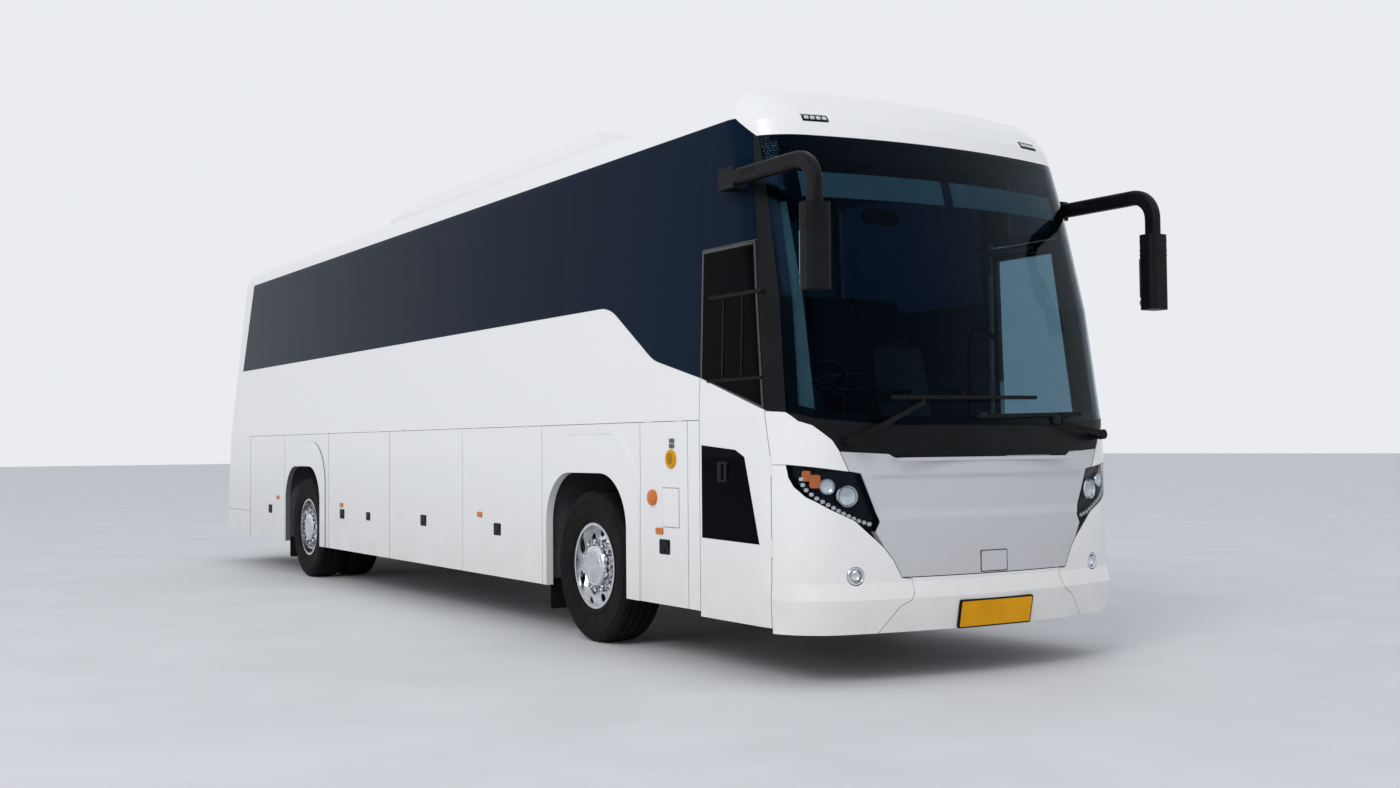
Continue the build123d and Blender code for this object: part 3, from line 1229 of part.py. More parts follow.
floor += block(-AISLE_HALF, AISLE_HALF, *mid_step_y, CAB_FLOOR_Z - SEAM, mid_step_z)
floor -= block(STEPWELL_X, SIDE_OUT, DOOR_FRONT_Y + WALL, left_bulkhead_y, 0, DECK_Z + OVERRUN)
step_run = (cab_half - WALL - STEPWELL_X) / STEP_COUNT
for i in range(STEP_COUNT):
    x0 = STEPWELL_X + i * step_run
    top = CAB_FLOOR_Z - (i + 1) * step_rise
    step_y = (DOOR_FRONT_Y + WALL - SEAM, left_bulkhead_y + SEAM)
    floor += block(x0 - SEAM, x0 + step_run, *step_y, top - step_rise - SEAM, top)
floor += block(
    STEPWELL_X - SEAM, STEPWELL_X + SEAM, DOOR_FRONT_Y + WALL, left_bulkhead_y + SEAM,
    CAB_FLOOR_Z - step_rise - SEAM, CAB_FLOOR_Z,
)
for x in (-RAIL_SPREAD, RAIL_SPREAD):
    half = RAIL_WIDTH / 2 + SEAT_GAP
    for reach in (front_rail, rear_rail):
        floor -= block(x - half, x + half, *reach, RAIL_FOOT_Z - SEAT_GAP, RAIL_TOP_Z)
write("body_floor", floor)

# Engine between the rear rails
ENGINE_AHEAD = 800
ENGINE_LENGTH = 1050
ENGINE_FOOT_Z = 480
ENGINE_TOP_Z = 1290
engine_half = RAIL_SPREAD - RAIL_WIDTH / 2 - SEAT_GAP
engine_y = REAR_AXLE_Y + ENGINE_AHEAD
engine_ys = (engine_y, engine_y + ENGINE_LENGTH)
write("engine_block", block(-engine_half, engine_half, *engine_ys, ENGINE_FOOT_Z, ENGINE_TOP_Z))

# Front frame behind the nose panels
SHELF = 36
LOW_SHELF_Z = 530
HIGH_SHELF_Z = 1300
LAMP_SHELF_Z = 980
LAMP_SHELF_IN = 830
POST = 60
LID_ARM_X = 350
LID_ARM_THICK = 30
LID_ARM_WIDTH = 44
LID_ARM_LENGTH = 380
LID_PIVOT_Z = 1120
LID_PIVOT_BACK = 240
LID_ARM_LEAN = 20
LID_PIN = 9
lid_pivot_y = BODY_FRONT_Y + LID_PIVOT_BACK
lid_end_y = lid_pivot_y + LID_ARM_LEAN
frame = front_core & block(-SIDE_OUT, SIDE_OUT, NOSE_Y, cab_front_y, LOW_SHELF_Z, LOW_SHELF_Z + SHELF)
frame += front_core & block(-SIDE_OUT, SIDE_OUT, NOSE_Y, cab_front_y, HIGH_SHELF_Z, HIGH_SHELF_Z + SHELF)
post_y = front_rail[0] - POST
for side in (-1, 1):
    lamp_shelf = [side * LAMP_SHELF_IN, side * SIDE_OUT]
    shelf_x = (min(lamp_shelf), max(lamp_shelf))
    frame += front_core & block(*shelf_x, NOSE_Y, cab_front_y, LAMP_SHELF_Z, LAMP_SHELF_Z + SHELF)
    for x in (side * RAIL_SPREAD, side * (LAMP_SHELF_IN + POST)):
        post_reach = (post_y, cab_front_y - SEAT_GAP)
        frame += block(x - POST / 2, x + POST / 2, *post_reach, LOW_SHELF_Z + SEAM, HIGH_SHELF_Z + SEAM)
    ear = [side * (LID_ARM_X + LID_ARM_THICK / 2 + SEAT_GAP), side * (LID_ARM_X + LID_ARM_THICK * 2)]
    ear_y = lid_pivot_y - LID_ARM_WIDTH / 2
    ear_z = (LID_PIVOT_Z - LID_ARM_WIDTH / 2, LID_PIVOT_Z + LID_ARM_WIDTH / 2)
    frame += block(min(ear), max(ear), ear_y, post_y + SEAM, *ear_z)
    pin_x = [side * (LID_ARM_X - LID_ARM_THICK / 2), ear[1]]
    frame += rod(min(pin_x), max(pin_x), lid_pivot_y, LID_PIVOT_Z, LID_PIN)
rail_room = RAIL_SPREAD + POST
frame -= block(-rail_room, rail_room, front_rail[0], cab_front_y + GAP, RAIL_FOOT_Z - SEAM, RAIL_TOP_Z + SEAM)
write("front_frame", frame)

# Arms of the front lid, tied by a bar, and the lugs that they carry on the lid
lid_end_z = LID_PIVOT_Z - LID_ARM_LENGTH
half = LID_ARM_WIDTH / 2
arm_outline = [
    (lid_pivot_y - half, LID_PIVOT_Z),
    (lid_pivot_y + half, LID_PIVOT_Z),
    (lid_end_y + half, lid_end_z),
    (lid_end_y - half, lid_end_z),
]
arms = rod(-LID_ARM_X, LID_ARM_X, lid_end_y, lid_end_z, LID_PIN)
for side in (-1, 1):
    x0 = side * LID_ARM_X - LID_ARM_THICK / 2
    arms += prism_x(arm_outline, x0, x0 + LID_ARM_THICK)
    for y, z in ((lid_end_y, lid_end_z), (lid_pivot_y, LID_PIVOT_Z)):
        arms += rod(x0, x0 + LID_ARM_THICK, y, z, half)
    arms -= rod(x0 - SEAM, x0 + LID_ARM_THICK + SEAM, lid_pivot_y, LID_PIVOT_Z, LID_PIN + SEAT_GAP)
    lug_out = side * (LID_ARM_X + LID_ARM_THICK * 2)
    ends = sorted((x0 + LID_ARM_THICK / 2, lug_out))
    arms += rod(*ends, lid_end_y, lid_end_z, LID_PIN)
    lug = sorted((side * (LID_ARM_X + LID_ARM_THICK / 2 + SEAT_GAP), lug_out))
    lug_block = block(*lug, NOSE_Y, lid_end_y + half, lid_end_z - half, lid_end_z + half)
    lug_bore = rod(lug[0] - SEAM, lug[1] + SEAM, lid_end_y, lid_end_z, LID_PIN + SEAT_GAP)
    lid = [lid[0] + ((lug_block & front_seat_line) - lug_bore)]
write("front_lid_arms", arms)
write("front_lid", lid)

# Wipers: each turns in a plane that touches the bowed glass between its pivot and its tip
WIPER_BOSS = 105
COWL_SETBACK = 44
WIPER_HUB_RADIUS = 30
WIPER_HUB_RISE = 34
WIPER_ARM_THICK = 12
WIPER_ARM_ROOT = 40
WIPER_ARM_TIP = 20
BLADE_WIDTH = 22
BLADE_THICK = 10
BLADE_STAND = 8
BOSS_RADIUS = 26
# side, turn and rake of its plane in degrees, stand ahead of the face, then pivot, arm's end and both ends of the
# blade as (x, z)
WIPER_ROWS = [
    ("right", -2.5, 4.0, 74, (-948, 1346), (-478, 1548), (-689, 1581), (364, 1587)),
    ("left", 4.75, 5.5, 60, (957, 1369), (603, 1437), (786, 1495), (-122, 1474)),
]


def wiper_plane(turn, rake, stand, pivot):
    """Plane of one wiper's sweep, facing forward, through its pivot ahead of the cowl."""
    lean = radians(rake)
    swing = radians(turn)
    out = Vector(sin(swing) * cos(lean), -cos(swing) * cos(lean), sin(lean))
    across = Vector(cos(swing), sin(swing), 0)
    y = BODY_FRONT_Y + FRONT_BOW - sqrt(FRONT_BOW**2 - pivot[0] ** 2) + COWL_SETBACK - stand
    return Plane(origin=(pivot[0], y, pivot[1]), x_dir=across, z_dir=out)


def on_plane(plane, point):
    """Place in a wiper's plane straight ahead of a point (x, z) of the face."""
    normal = plane.z_dir
    rise = normal.X * (point[0] - plane.origin.X) + normal.Z * (point[1] - plane.origin.Z)
    found = plane.to_local_coords(Vector(point[0], plane.origin.Y - rise / normal.Y, point[1]))
    return found.X, found.Y


for name, turn, rake, stand, pivot, arm_tip, blade_start, blade_end in WIPER_ROWS:
    plane = wiper_plane(turn, rake, stand, pivot)
    tip = on_plane(plane, arm_tip)
    start = on_plane(plane, blade_start)
    end = on_plane(plane, blade_end)
    arm_turn = degrees(atan2(tip[1], tip[0]))
    arm_length = sqrt(tip[0] ** 2 + tip[1] ** 2)
    root = WIPER_ARM_ROOT / 2
    nib = WIPER_ARM_TIP / 2
    arm_face = outline([(0, -root), (0, root), (arm_length, nib), (arm_length, -nib)])
    arm_solid = extrude(arm_face, amount=WIPER_ARM_THICK, dir=(0, 0, 1))
    arm = Pos(0, 0, BLADE_STAND + BLADE_THICK) * Rot(0, 0, arm_turn) * arm_solid
    length = sqrt((end[0] - start[0]) ** 2 + (end[1] - start[1]) ** 2)
    blade_turn = degrees(atan2(end[1] - start[1], end[0] - start[0]))
    middle = Pos((start[0] + end[0]) / 2, (start[1] + end[1]) / 2, 0) * Rot(0, 0, blade_turn)
    blade = middle * Pos(0, 0, BLADE_STAND + BLADE_THICK / 2) * Box(length, BLADE_WIDTH, BLADE_THICK)
    blade += middle * Pos(0, 0, BLADE_STAND / 2 + SEAT_GAP) * Box(length - BLADE_WIDTH, BLADE_THICK / 2, BLADE_STAND)
    share = (tip[0] - start[0]) / (end[0] - start[0])
    blade_y = start[1] + share * (end[1] - start[1])
    bridge = Pos(tip[0], (tip[1] + blade_y) / 2, BLADE_STAND + BLADE_THICK + WIPER_ARM_THICK / 2)
    blade += bridge * Box(WIPER_ARM_TIP, abs(tip[1] - blade_y) + BLADE_WIDTH, WIPER_ARM_THICK)
    hub = Pos(0, 0, WIPER_HUB_RISE / 2) * Cylinder(WIPER_HUB_RADIUS, WIPER_HUB_RISE)
    write(f"wiper_{name}", plane * (arm + blade + hub))
    boss = plane * (Pos(0, 0, -WIPER_BOSS / 2 - SEAT_GAP) * Cylinder(BOSS_RADIUS, WIPER_BOSS))
    surround += boss - front_inner
write("windscreen_surround", surround)

# Mirrors on cranked arms
MIRROR_X = 1292
MIRROR_ARM_Z = 2850
MIRROR_ARM_WIDTH = 62
MIRROR_ARM_HEIGHT = 92
MIRROR_ROOT_BACK = 1830
MIRROR_DOWN_Z = 2560
MIRROR_BEND = 150
HEAD_WIDTH = 150
HEAD_DEPTH = 120
HEAD_TOP_Z = 2600
HEAD_FOOT_Z = 2136
HEAD_RADIUS = 36
head_y = BODY_FRONT_Y - MIRROR_REACH + HEAD_DEPTH / 2
root_y = FRONT_AXLE_Y - MIRROR_ROOT_BACK
path = FilletPolyline(
    (MIRROR_X, root_y, MIRROR_ARM_Z),
    (MIRROR_X, head_y, MIRROR_ARM_Z),
    (MIRROR_X, head_y, MIRROR_DOWN_Z),
    radius=MIRROR_BEND,
)
arm_plane = Plane(origin=(MIRROR_X, root_y, MIRROR_ARM_Z), x_dir=(1, 0, 0), z_dir=(0, -1, 0))
arm_section = arm_plane * RectangleRounded(MIRROR_ARM_WIDTH, MIRROR_ARM_HEIGHT, MIRROR_ARM_WIDTH / 3)
mirror_solid = sweep(arm_section, path=path)
root_x = (BODY_HALF - WALL, MIRROR_X + MIRROR_ARM_WIDTH / 2)
root_rise = MIRROR_ARM_HEIGHT * 2 / 3
root = block(
    *root_x,
    root_y - 2 * MIRROR_ARM_WIDTH,
    root_y + MIRROR_ARM_WIDTH / 2,
    MIRROR_ARM_Z - root_rise,
    MIRROR_ARM_Z + root_rise,
)
mirror_solid += root - front_cap(-SEAT_GAP)
head_face = Plane.XY.offset(HEAD_FOOT_Z) * RectangleRounded(HEAD_WIDTH, HEAD_DEPTH, HEAD_RADIUS)
mirror_solid += Pos(MIRROR_X, head_y, 0) * extrude(head_face, amount=HEAD_TOP_Z - HEAD_FOOT_Z, dir=(0, 0, 1))
write("mirrors", mirror_solid, flip(mirror_solid))

# Cab: dashboard, steering wheel and two seats
DASH_TOP_Z = 1405
DASH_DEPTH = 310
DASH_IN_X = 400
DASH_STAND = 26
dash_back_y = cab_front_y + DASH_DEPTH
dash_foot = HIGH_SHELF_Z + SHELF + SEAT_GAP
dash_shelf = [
    (NOSE_Y, dash_foot),
    (NOSE_Y, DASH_TOP_Z),
    (cab_front_y, DASH_TOP_Z + DASH_STAND),
    (cab_front_y, dash_foot),
]
dash = front_core & prism_x(dash_shelf, -SIDE_OUT, SIDE_OUT)
dash += prism_x(
    [
        (cab_front_y + SEAT_GAP, CAB_FLOOR_Z + SEAT_GAP),
        (cab_front_y + SEAT_GAP, dash_foot + SEAM),
        (cab_front_y - SEAM, dash_foot + SEAM),
        (cab_front_y - SEAM, DASH_TOP_Z + DASH_STAND),
        (dash_back_y, DASH_TOP_Z),
        (dash_back_y + WALL, DASH_TOP_Z - 3 * WALL),
        (dash_back_y - DASH_DEPTH / 2, CAB_FLOOR_Z + SEAT_GAP),
    ],
    -floor_half + 2 * WALL,
    DASH_IN_X,
)
write("dashboard", dash)
WHEEL_X = -620
STEER_RADIUS = 225
STEER_GRIP = 16
STEER_TILT = -32
STEER_Z = 1690
STEER_BACK = 1690
COLUMN_RADIUS = 35
steer_at = Pos(WHEEL_X, FRONT_AXLE_Y - STEER_BACK, STEER_Z) * Rot(STEER_TILT, 0, 0)
steering = steer_at * Torus(STEER_RADIUS, STEER_GRIP)
steering += steer_at * Pos(0, 0, -STEER_GRIP) * Cylinder(STEER_RADIUS / 3, STEER_GRIP * 2)
for turn in (0, 90):
    steering += steer_at * Rot(0, 0, turn) * Box(2 * STEER_RADIUS, STEER_GRIP * 2, STEER_GRIP)
steering += steer_at * Pos(0, 0, -STEER_RADIUS) * Cylinder(COLUMN_RADIUS, STEER_RADIUS * 2)
write("steering_wheel", steering - dash - block(-SIDE_OUT, SIDE_OUT, NOSE_Y, dash_back_y, 0, DASH_TOP_Z))

SEAT_WIDTH = 480
SEAT_DEPTH = 470
SEAT_THICK = 110
SEAT_Z = 1290
BACK_TOP_Z = 2030
BACK_THICK = 110
BACK_LEAN = 90
PEDESTAL = 300


def crew_seat(x, front_y):
    """Seat on a pedestal, facing forward."""
    back_y = front_y + SEAT_DEPTH
    foot_y = (front_y + BACK_THICK, front_y + BACK_THICK + PEDESTAL)
    seat = block(x - PEDESTAL / 2, x + PEDESTAL / 2, *foot_y, CAB_FLOOR_Z, SEAT_Z + SEAM)
    profile = [
        (front_y, SEAT_Z, SEAT_THICK / 3),
        (front_y, SEAT_Z + SEAT_THICK, SEAT_THICK / 3),
        (back_y - BACK_THICK, SEAT_Z + SEAT_THICK),
        (back_y - BACK_THICK + BACK_LEAN, BACK_TOP_Z, BACK_THICK / 3),
        (back_y + BACK_LEAN, BACK_TOP_Z, BACK_THICK / 3),
        (back_y, SEAT_Z),
    ]
    return seat + prism_x(profile, x - SEAT_WIDTH / 2, x + SEAT_WIDTH / 2)


DRIVER_SEAT_AHEAD = 1625
CREW_SEAT_AHEAD = 1850
CREW_SEAT_X = 440
driver_seat = crew_seat(WHEEL_X, FRONT_AXLE_Y - DRIVER_SEAT_AHEAD)
write("crew_seats", driver_seat, crew_seat(CREW_SEAT_X, FRONT_AXLE_Y - CREW_SEAT_AHEAD))

# Saloon seats in pairs along the deck
SEAT_ROWS = 12
ROW_PITCH = 830
FIRST_ROW_AHEAD = 955
PAIR_IN_X = 265
PAIR_OUT_X = 1150
CUSHION_FOOT_Z = 1700
CUSHION_TOP_Z = 1800
HEADREST_Z = 2450
CUSHION_DEPTH = 430
SALOON_BACK_THICK = 85
SALOON_BACK_LEAN = 130
LEG = 110
seats = []
for i in range(SEAT_ROWS):
    y = FRONT_AXLE_Y - FIRST_ROW_AHEAD + i * ROW_PITCH
    profile = [
        (y, CUSHION_FOOT_Z),
        (y, CUSHION_TOP_Z, SALOON_BACK_THICK / 3),
        (y + CUSHION_DEPTH, CUSHION_TOP_Z),
        (y + CUSHION_DEPTH + SALOON_BACK_LEAN, HEADREST_Z, SALOON_BACK_THICK / 3),
        (y + CUSHION_DEPTH + SALOON_BACK_LEAN + SALOON_BACK_THICK, HEADREST_Z, SALOON_BACK_THICK / 3),
        (y + CUSHION_DEPTH + SALOON_BACK_THICK, CUSHION_FOOT_Z),
    ]
    pair = prism_x(profile, PAIR_IN_X, PAIR_OUT_X)
    leg_x = (PAIR_IN_X + PAIR_OUT_X - LEG) / 2
    pair += block(leg_x, leg_x + LEG, y + LEG, y + 3 * LEG, DECK_Z, CUSHION_FOOT_Z + SEAM)
    seats += [pair, *flip(pair)]
write("saloon_seats", seats)
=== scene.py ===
# %% [markdown]
# A touring coach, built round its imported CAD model.
# The CAD model is the fixed frame: every panel, wheel and door is already in its place and in metres.
# Blender adds the finishes, and the small parts that a coach builder fits last: lamps, seals, tread, handles.
# The box of the CAD model is kept, because nothing that is added may make the coach larger.

# %% Load the frame
import json
import math
import bmesh
import bpy
from mathutils import Matrix, Vector
from mathutils.bvhtree import BVHTree

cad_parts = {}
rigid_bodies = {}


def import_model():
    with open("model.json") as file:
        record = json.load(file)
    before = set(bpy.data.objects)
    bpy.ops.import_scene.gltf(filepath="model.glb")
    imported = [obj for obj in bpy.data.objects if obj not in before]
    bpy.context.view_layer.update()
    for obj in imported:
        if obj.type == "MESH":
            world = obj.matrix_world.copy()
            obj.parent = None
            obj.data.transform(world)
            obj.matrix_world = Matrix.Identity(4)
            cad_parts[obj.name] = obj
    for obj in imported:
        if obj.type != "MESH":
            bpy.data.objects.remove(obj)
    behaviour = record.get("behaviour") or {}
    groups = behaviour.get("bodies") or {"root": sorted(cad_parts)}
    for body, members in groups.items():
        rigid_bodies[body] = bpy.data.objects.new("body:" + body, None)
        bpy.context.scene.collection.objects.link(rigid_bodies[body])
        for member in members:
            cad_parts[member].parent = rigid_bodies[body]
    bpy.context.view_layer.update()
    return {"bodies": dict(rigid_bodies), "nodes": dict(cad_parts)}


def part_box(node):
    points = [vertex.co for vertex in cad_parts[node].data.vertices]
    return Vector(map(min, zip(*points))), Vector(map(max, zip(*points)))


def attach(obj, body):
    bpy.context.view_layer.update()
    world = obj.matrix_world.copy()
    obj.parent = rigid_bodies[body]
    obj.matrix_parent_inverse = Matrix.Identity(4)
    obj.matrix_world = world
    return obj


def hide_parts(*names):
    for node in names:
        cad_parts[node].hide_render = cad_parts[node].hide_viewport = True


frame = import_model()
nodes = frame["nodes"]

# %% [markdown]
# The camera stands low, under a person's eye height, off the driver's front corner.
# It was found by matching the coach's wheels, waist seam and roof corners to the picture.
# The small roll is the tilt of the hand-held picture.

# %% Camera
CAMERA_PLACE = (-5.94087, -12.39600, 1.32119)
CAMERA_AZIMUTH = -31.81733
CAMERA_ELEVATION = -1.98707
CAMERA_ROLL = -0.48965
FOCAL_MM = 38.397
SENSOR_MM = 36.0


def camera_axes(azimuth, elevation, roll):
    """The camera's right, up and backward directions, from its angles in degrees."""
    a, e, r = (math.radians(v) for v in (azimuth, elevation, roll))
    back = Vector((math.sin(a) * math.cos(e), -math.cos(a) * math.cos(e), math.sin(e)))
    right = (-back).cross(Vector((0, 0, 1))).normalized()
    up = right.cross(-back)
    turned_right = right * math.cos(r) + up * math.sin(r)
    turned_up = up * math.cos(r) - right * math.sin(r)
    return turned_right, turned_up, back


camera = bpy.data.objects.new("camera", bpy.data.cameras.new("camera"))
bpy.context.scene.collection.objects.link(camera)
camera.data.sensor_width = SENSOR_MM
camera.data.lens = FOCAL_MM
camera.data.clip_end = 400
axes = camera_axes(CAMERA_AZIMUTH, CAMERA_ELEVATION, CAMERA_ROLL)
camera.matrix_world = Matrix.Translation(CAMERA_PLACE) @ Matrix(axes).transposed().to_4x4()
bpy.context.scene.camera = camera
bpy.context.scene.view_settings.view_transform = "Standard"
print("camera at", CAMERA_PLACE, "lens", FOCAL_MM)

# %% [markdown]
# Paint charts give colours as sRGB hex values, and shaders count in linear light, so one function turns them.
# A material here is a small tree of nodes. One function adds a node with its settings and its links,
# and another starts a material from the three values that matter most: colour, roughness and metal.

# %% Colour and node helpers
HEX_PLACES = (1, 3, 5)


def linear(hex_colour):
    """An sRGB hex colour as linear red, green, blue and alpha."""
    parts = [int(hex_colour[i:i + 2], 16) / 255 for i in HEX_PLACES]
    return (*(p / 12.92 if p <= 0.04045 else ((p + 0.055) / 1.055) ** 2.4 for p in parts), 1.0)


def node(material, kind, values=None, feeds=None, **settings):
    """Adds a node of this kind, with its input values, the sockets that feed it, and its own settings."""
    made = material.node_tree.nodes.new(kind)
    for name, value in settings.items():
        setattr(made, name, value)
    for name, value in (values or {}).items():
        made.inputs[name].default_value = value
    for name, socket in (feeds or {}).items():
        material.node_tree.links.new(socket, made.inputs[name])
    return made


def start_finish(name, colour, roughness, **shader):
    """A new material with its shader set to this colour and roughness, and the shader itself."""
    material = bpy.data.materials.new(name)
    material.use_nodes = True
    material.node_tree.nodes.clear()
    values = {"Base Color": linear(colour), "Roughness": roughness, **shader}
    surface = node(material, "ShaderNodeBsdfPrincipled", values)
    node(material, "ShaderNodeOutputMaterial", feeds={"Surface": surface.outputs["BSDF"]})
    return material, surface


def link(material, socket, surface, name):
    """Feeds one of the shader's inputs."""
    material.node_tree.links.new(socket, surface.inputs[name])


def per_metre(millimetres):
    """A pattern's scale, for a texture whose features are this many millimetres across."""
    return 1000 / millimetres


# %% [markdown]
# Nearly every real surface varies a little: dust lies on it, hands polish it, and moulding leaves a grain.
# Three helpers give that: a slow blotchy change of colour, a change of gloss, and a fine bump.
# All read the object's own coordinates, so the pattern stays on its panel when a door swings.

# %% Surface variation helpers
NOISE = "ShaderNodeTexNoise"


def blotches(material, size_mm, detail=4.0, roughness=0.6):
    """A soft grey pattern with patches of this size, in the object's own coordinates."""
    place = node(material, "ShaderNodeTexCoord")
    pattern = node(
        material, NOISE,
        {"Scale": per_metre(size_mm), "Detail": detail, "Roughness": roughness},
        {"Vector": place.outputs["Object"]},
    )
    return pattern.outputs["Fac"]


def vary_colour(material, surface, first, second, size_mm, low=0.35, high=0.65):
    """Blends two close colours by patches of this size."""
    blend = node(material, "ShaderNodeValToRGB", feeds={"Fac": blotches(material, size_mm)})
    blend.color_ramp.elements[0].position = low
    blend.color_ramp.elements[1].position = high
    blend.color_ramp.elements[0].color = linear(first)
    blend.color_ramp.elements[1].color = linear(second)
    link(material, blend.outputs["Color"], surface, "Base Color")
    return blend.outputs["Color"]


def vary_gloss(material, surface, low, high, size_mm):
    """Lets the roughness wander between two values."""
    span = node(
        material, "ShaderNodeMapRange",
        {"To Min": low, "To Max": high},
        {"Value": blotches(material, size_mm)},
    )
    link(material, span.outputs["Result"], surface, "Roughness")


def fine_bump(material, surface, size_mm, height_mm, strength=1.0, detail=2.0):
    """A bump of this grain size and height."""
    bump = node(
        material, "ShaderNodeBump",
        {"Strength": strength, "Distance": height_mm / 1000},
        {"Height": blotches(material, size_mm, detail)},
    )
    link(material, bump.outputs["Normal"], surface, "Normal")


# %% [markdown]
# The body is steel panels and moulded glass-fibre ends, sprayed with white two-pack polyurethane.
# Sprayed paint is glossy with a faint orange-peel, and a coach picks up road dust near its skirts.
# The same panels are trimmed with grey felt and board inside, so the finish turns grey on inward faces.
# Real orange peel is about 3 mm across; here it is drawn at 60 mm, the finest that this view can show.

# %% Sprayed paint
ORANGE_PEEL_MM = 60
DUST_LOW_Z = 0.30
DUST_HIGH_Z = 1.05
DUST_MM = 240
MOST_DUST = 0.5
COACH_MIDDLE_Z = 2.0
INWARD_EDGE = 0.02
CLEAR_COAT = {"Coat Weight": 0.35, "Coat Roughness": 0.08}
WHITE, ROAD_DUST, FELT_GREY = "#f4f4f2", "#b9b3a8", "#6c6e72"


def mix_colours(material, share, first, second):
    """Goes from the first colour to the second by share; each is a hex colour or a socket."""
    mix = node(material, "ShaderNodeMix", data_type="RGBA")
    material.node_tree.links.new(share, mix.inputs[0])
    for place, colour in ((6, first), (7, second)):
        if isinstance(colour, str):
            mix.inputs[place].default_value = linear(colour)
        else:
            material.node_tree.links.new(colour, mix.inputs[place])
    return mix.outputs[2]


def inward_mask(material, place):
    """1 where a face looks towards the coach's middle, and 0 where it looks out."""
    offset = node(material, "ShaderNodeVectorMath", feeds={0: place.outputs["Object"]}, operation="SUBTRACT")
    offset.inputs[1].default_value = (0, 0, COACH_MIDDLE_Z)
    facing = node(
        material, "ShaderNodeVectorMath",
        feeds={0: offset.outputs["Vector"], 1: place.outputs["Normal"]}, operation="DOT_PRODUCT",
    )
    mask = node(material, "ShaderNodeMath", feeds={0: facing.outputs["Value"]}, operation="LESS_THAN")
    mask.inputs[1].default_value = -INWARD_EDGE
    return mask.outputs["Value"]


def dust_share(material, place):
    """More dust towards the ground, in drifts."""
    split = node(material, "ShaderNodeSeparateXYZ", feeds={"Vector": place.outputs["Object"]})
    near_ground = node(
        material, "ShaderNodeMapRange",
        {"From Min": DUST_HIGH_Z, "From Max": DUST_LOW_Z, "To Min": 0.0, "To Max": MOST_DUST},
        {"Value": split.outputs["Z"]},
    )
    dust = node(
        material, "ShaderNodeMath",
        feeds={0: near_ground.outputs["Result"], 1: blotches(material, DUST_MM, 6.0)}, operation="MULTIPLY",
    )
    return dust.outputs["Value"]


def sprayed_paint(name, colour, dusty, inside):
    """Two-pack paint outside, dusty near the ground, and plain trim inside."""
    material, surface = start_finish(name, colour, 0.24, **CLEAR_COAT)
    place = node(material, "ShaderNodeTexCoord")
    painted = mix_colours(material, dust_share(material, place), colour, dusty)
    trimmed = mix_colours(material, inward_mask(material, place), painted, inside)
    link(material, trimmed, surface, "Base Color")
    vary_gloss(material, surface, 0.22, 0.27, 900)
    fine_bump(material, surface, ORANGE_PEEL_MM, 0.03, 0.12)
    return material


white_polyurethane = sprayed_paint("white_polyurethane", WHITE, ROAD_DUST, FELT_GREY)
silver_polyurethane = sprayed_paint("silver_polyurethane", "#c9cacd", "#a8a398", "#2c2d30")

# %% [markdown]
# The saloon windows are toughened float glass, tinted dark and bonded edge to edge.
# Tempering leaves slow waves in the sheet, which bend reflections a little; they are about half a metre long.
# The windscreen is laminated glass with a cool tint, and the passenger door panes are lighter than that. The
# driver's door glass is tinted, and darkened to near-black as painted shade for the dim cab seen through it.
# Light is dimmed where it goes into a pane and where it comes out.
# Real glass has an index of refraction of 1.52. At that value a white studio washes the dark panes out,
# so the index is lowered, and the mirrored light is tinted blue like the open sky.

# %% Glass
GLASS_IOR = 1.20
DARK_GLASS_IOR = 1.10
GLASS_REFLECTION = "#4a7099"
WAVE_STRENGTH = 0.4


def float_glass(name, tint, wave_mm, wave_height_mm, clear=1.0, ior=GLASS_IOR):
    """A glass pane with this tint, and the slow waves of tempering."""
    values = {"Transmission Weight": clear, "IOR": ior, "Specular Tint": linear(GLASS_REFLECTION)}
    material, surface = start_finish(name, tint, 0.0, **values)
    fine_bump(material, surface, wave_mm, wave_height_mm, WAVE_STRENGTH)
    return material


privacy_glass = float_glass("privacy_glass", "#1a3048", 620, 0.4, clear=0.6, ior=DARK_GLASS_IOR)
laminated_glass = float_glass("laminated_glass", "#86a3b0", 800, 0.2)
door_glass = float_glass("door_glass", "#a3b6c0", 700, 0.2, ior=DARK_GLASS_IOR)
# Painted shade: the driver's door glass is tinted near-black so that it looks as dark as the shaded cab behind
# it.
door_glass_painted_shade = float_glass("door_glass_painted_shade", "#27323b", 700, 0.2, ior=DARK_GLASS_IOR)

# %% [markdown]
# Trim, mirror housings and wiper arms are moulded ABS or powder-coated steel in satin black.
# The mould has an etched grain of about 1 mm, drawn here at 8 mm so that it still breaks up the highlights.
# The black is lifted a little by dust, and its sheen is low, so that it stays dark under a white sky.

# %% Black trim and rubber
GRAIN_MM = 8
PLASTIC_SHEEN = 0.12


def moulded_plastic(name, colour, worn, roughness, grain_mm=GRAIN_MM):
    """Grained plastic with slightly faded patches."""
    material, surface = start_finish(name, colour, roughness, **{"Specular IOR Level": PLASTIC_SHEEN})
    vary_colour(material, surface, colour, worn, 180)
    vary_gloss(material, surface, roughness - 0.06, roughness + 0.08, 90)
    fine_bump(material, surface, grain_mm, 0.25, 0.35)
    return material


black_abs = moulded_plastic("black_abs", "#0a0c0f", "#131519", 0.42)
gloss_black = moulded_plastic("gloss_black_acrylic", "#06080b", "#0a0d12", 0.12, 40)
window_rubber = moulded_plastic("window_rubber", "#0d0e0f", "#18191a", 0.62)
dash_abs = moulded_plastic("dash_abs", "#2a2c30", "#34373b", 0.55)
pale_trim = moulded_plastic("pale_trim", "#b9bcb8", "#a9aca8", 0.5)
blind_vinyl = moulded_plastic("blind_vinyl", "#98a3ab", "#87929a", 0.6)
wiper_rubber = moulded_plastic("wiper_rubber", "#101112", "#1a1b1c", 0.7)

# %% [markdown]
# A tyre is rubber filled with carbon black, so it is a very dark grey that scatters light.
# The sidewall is buffed by kerbs and greyed by dust; the groove floors hold the most dust.

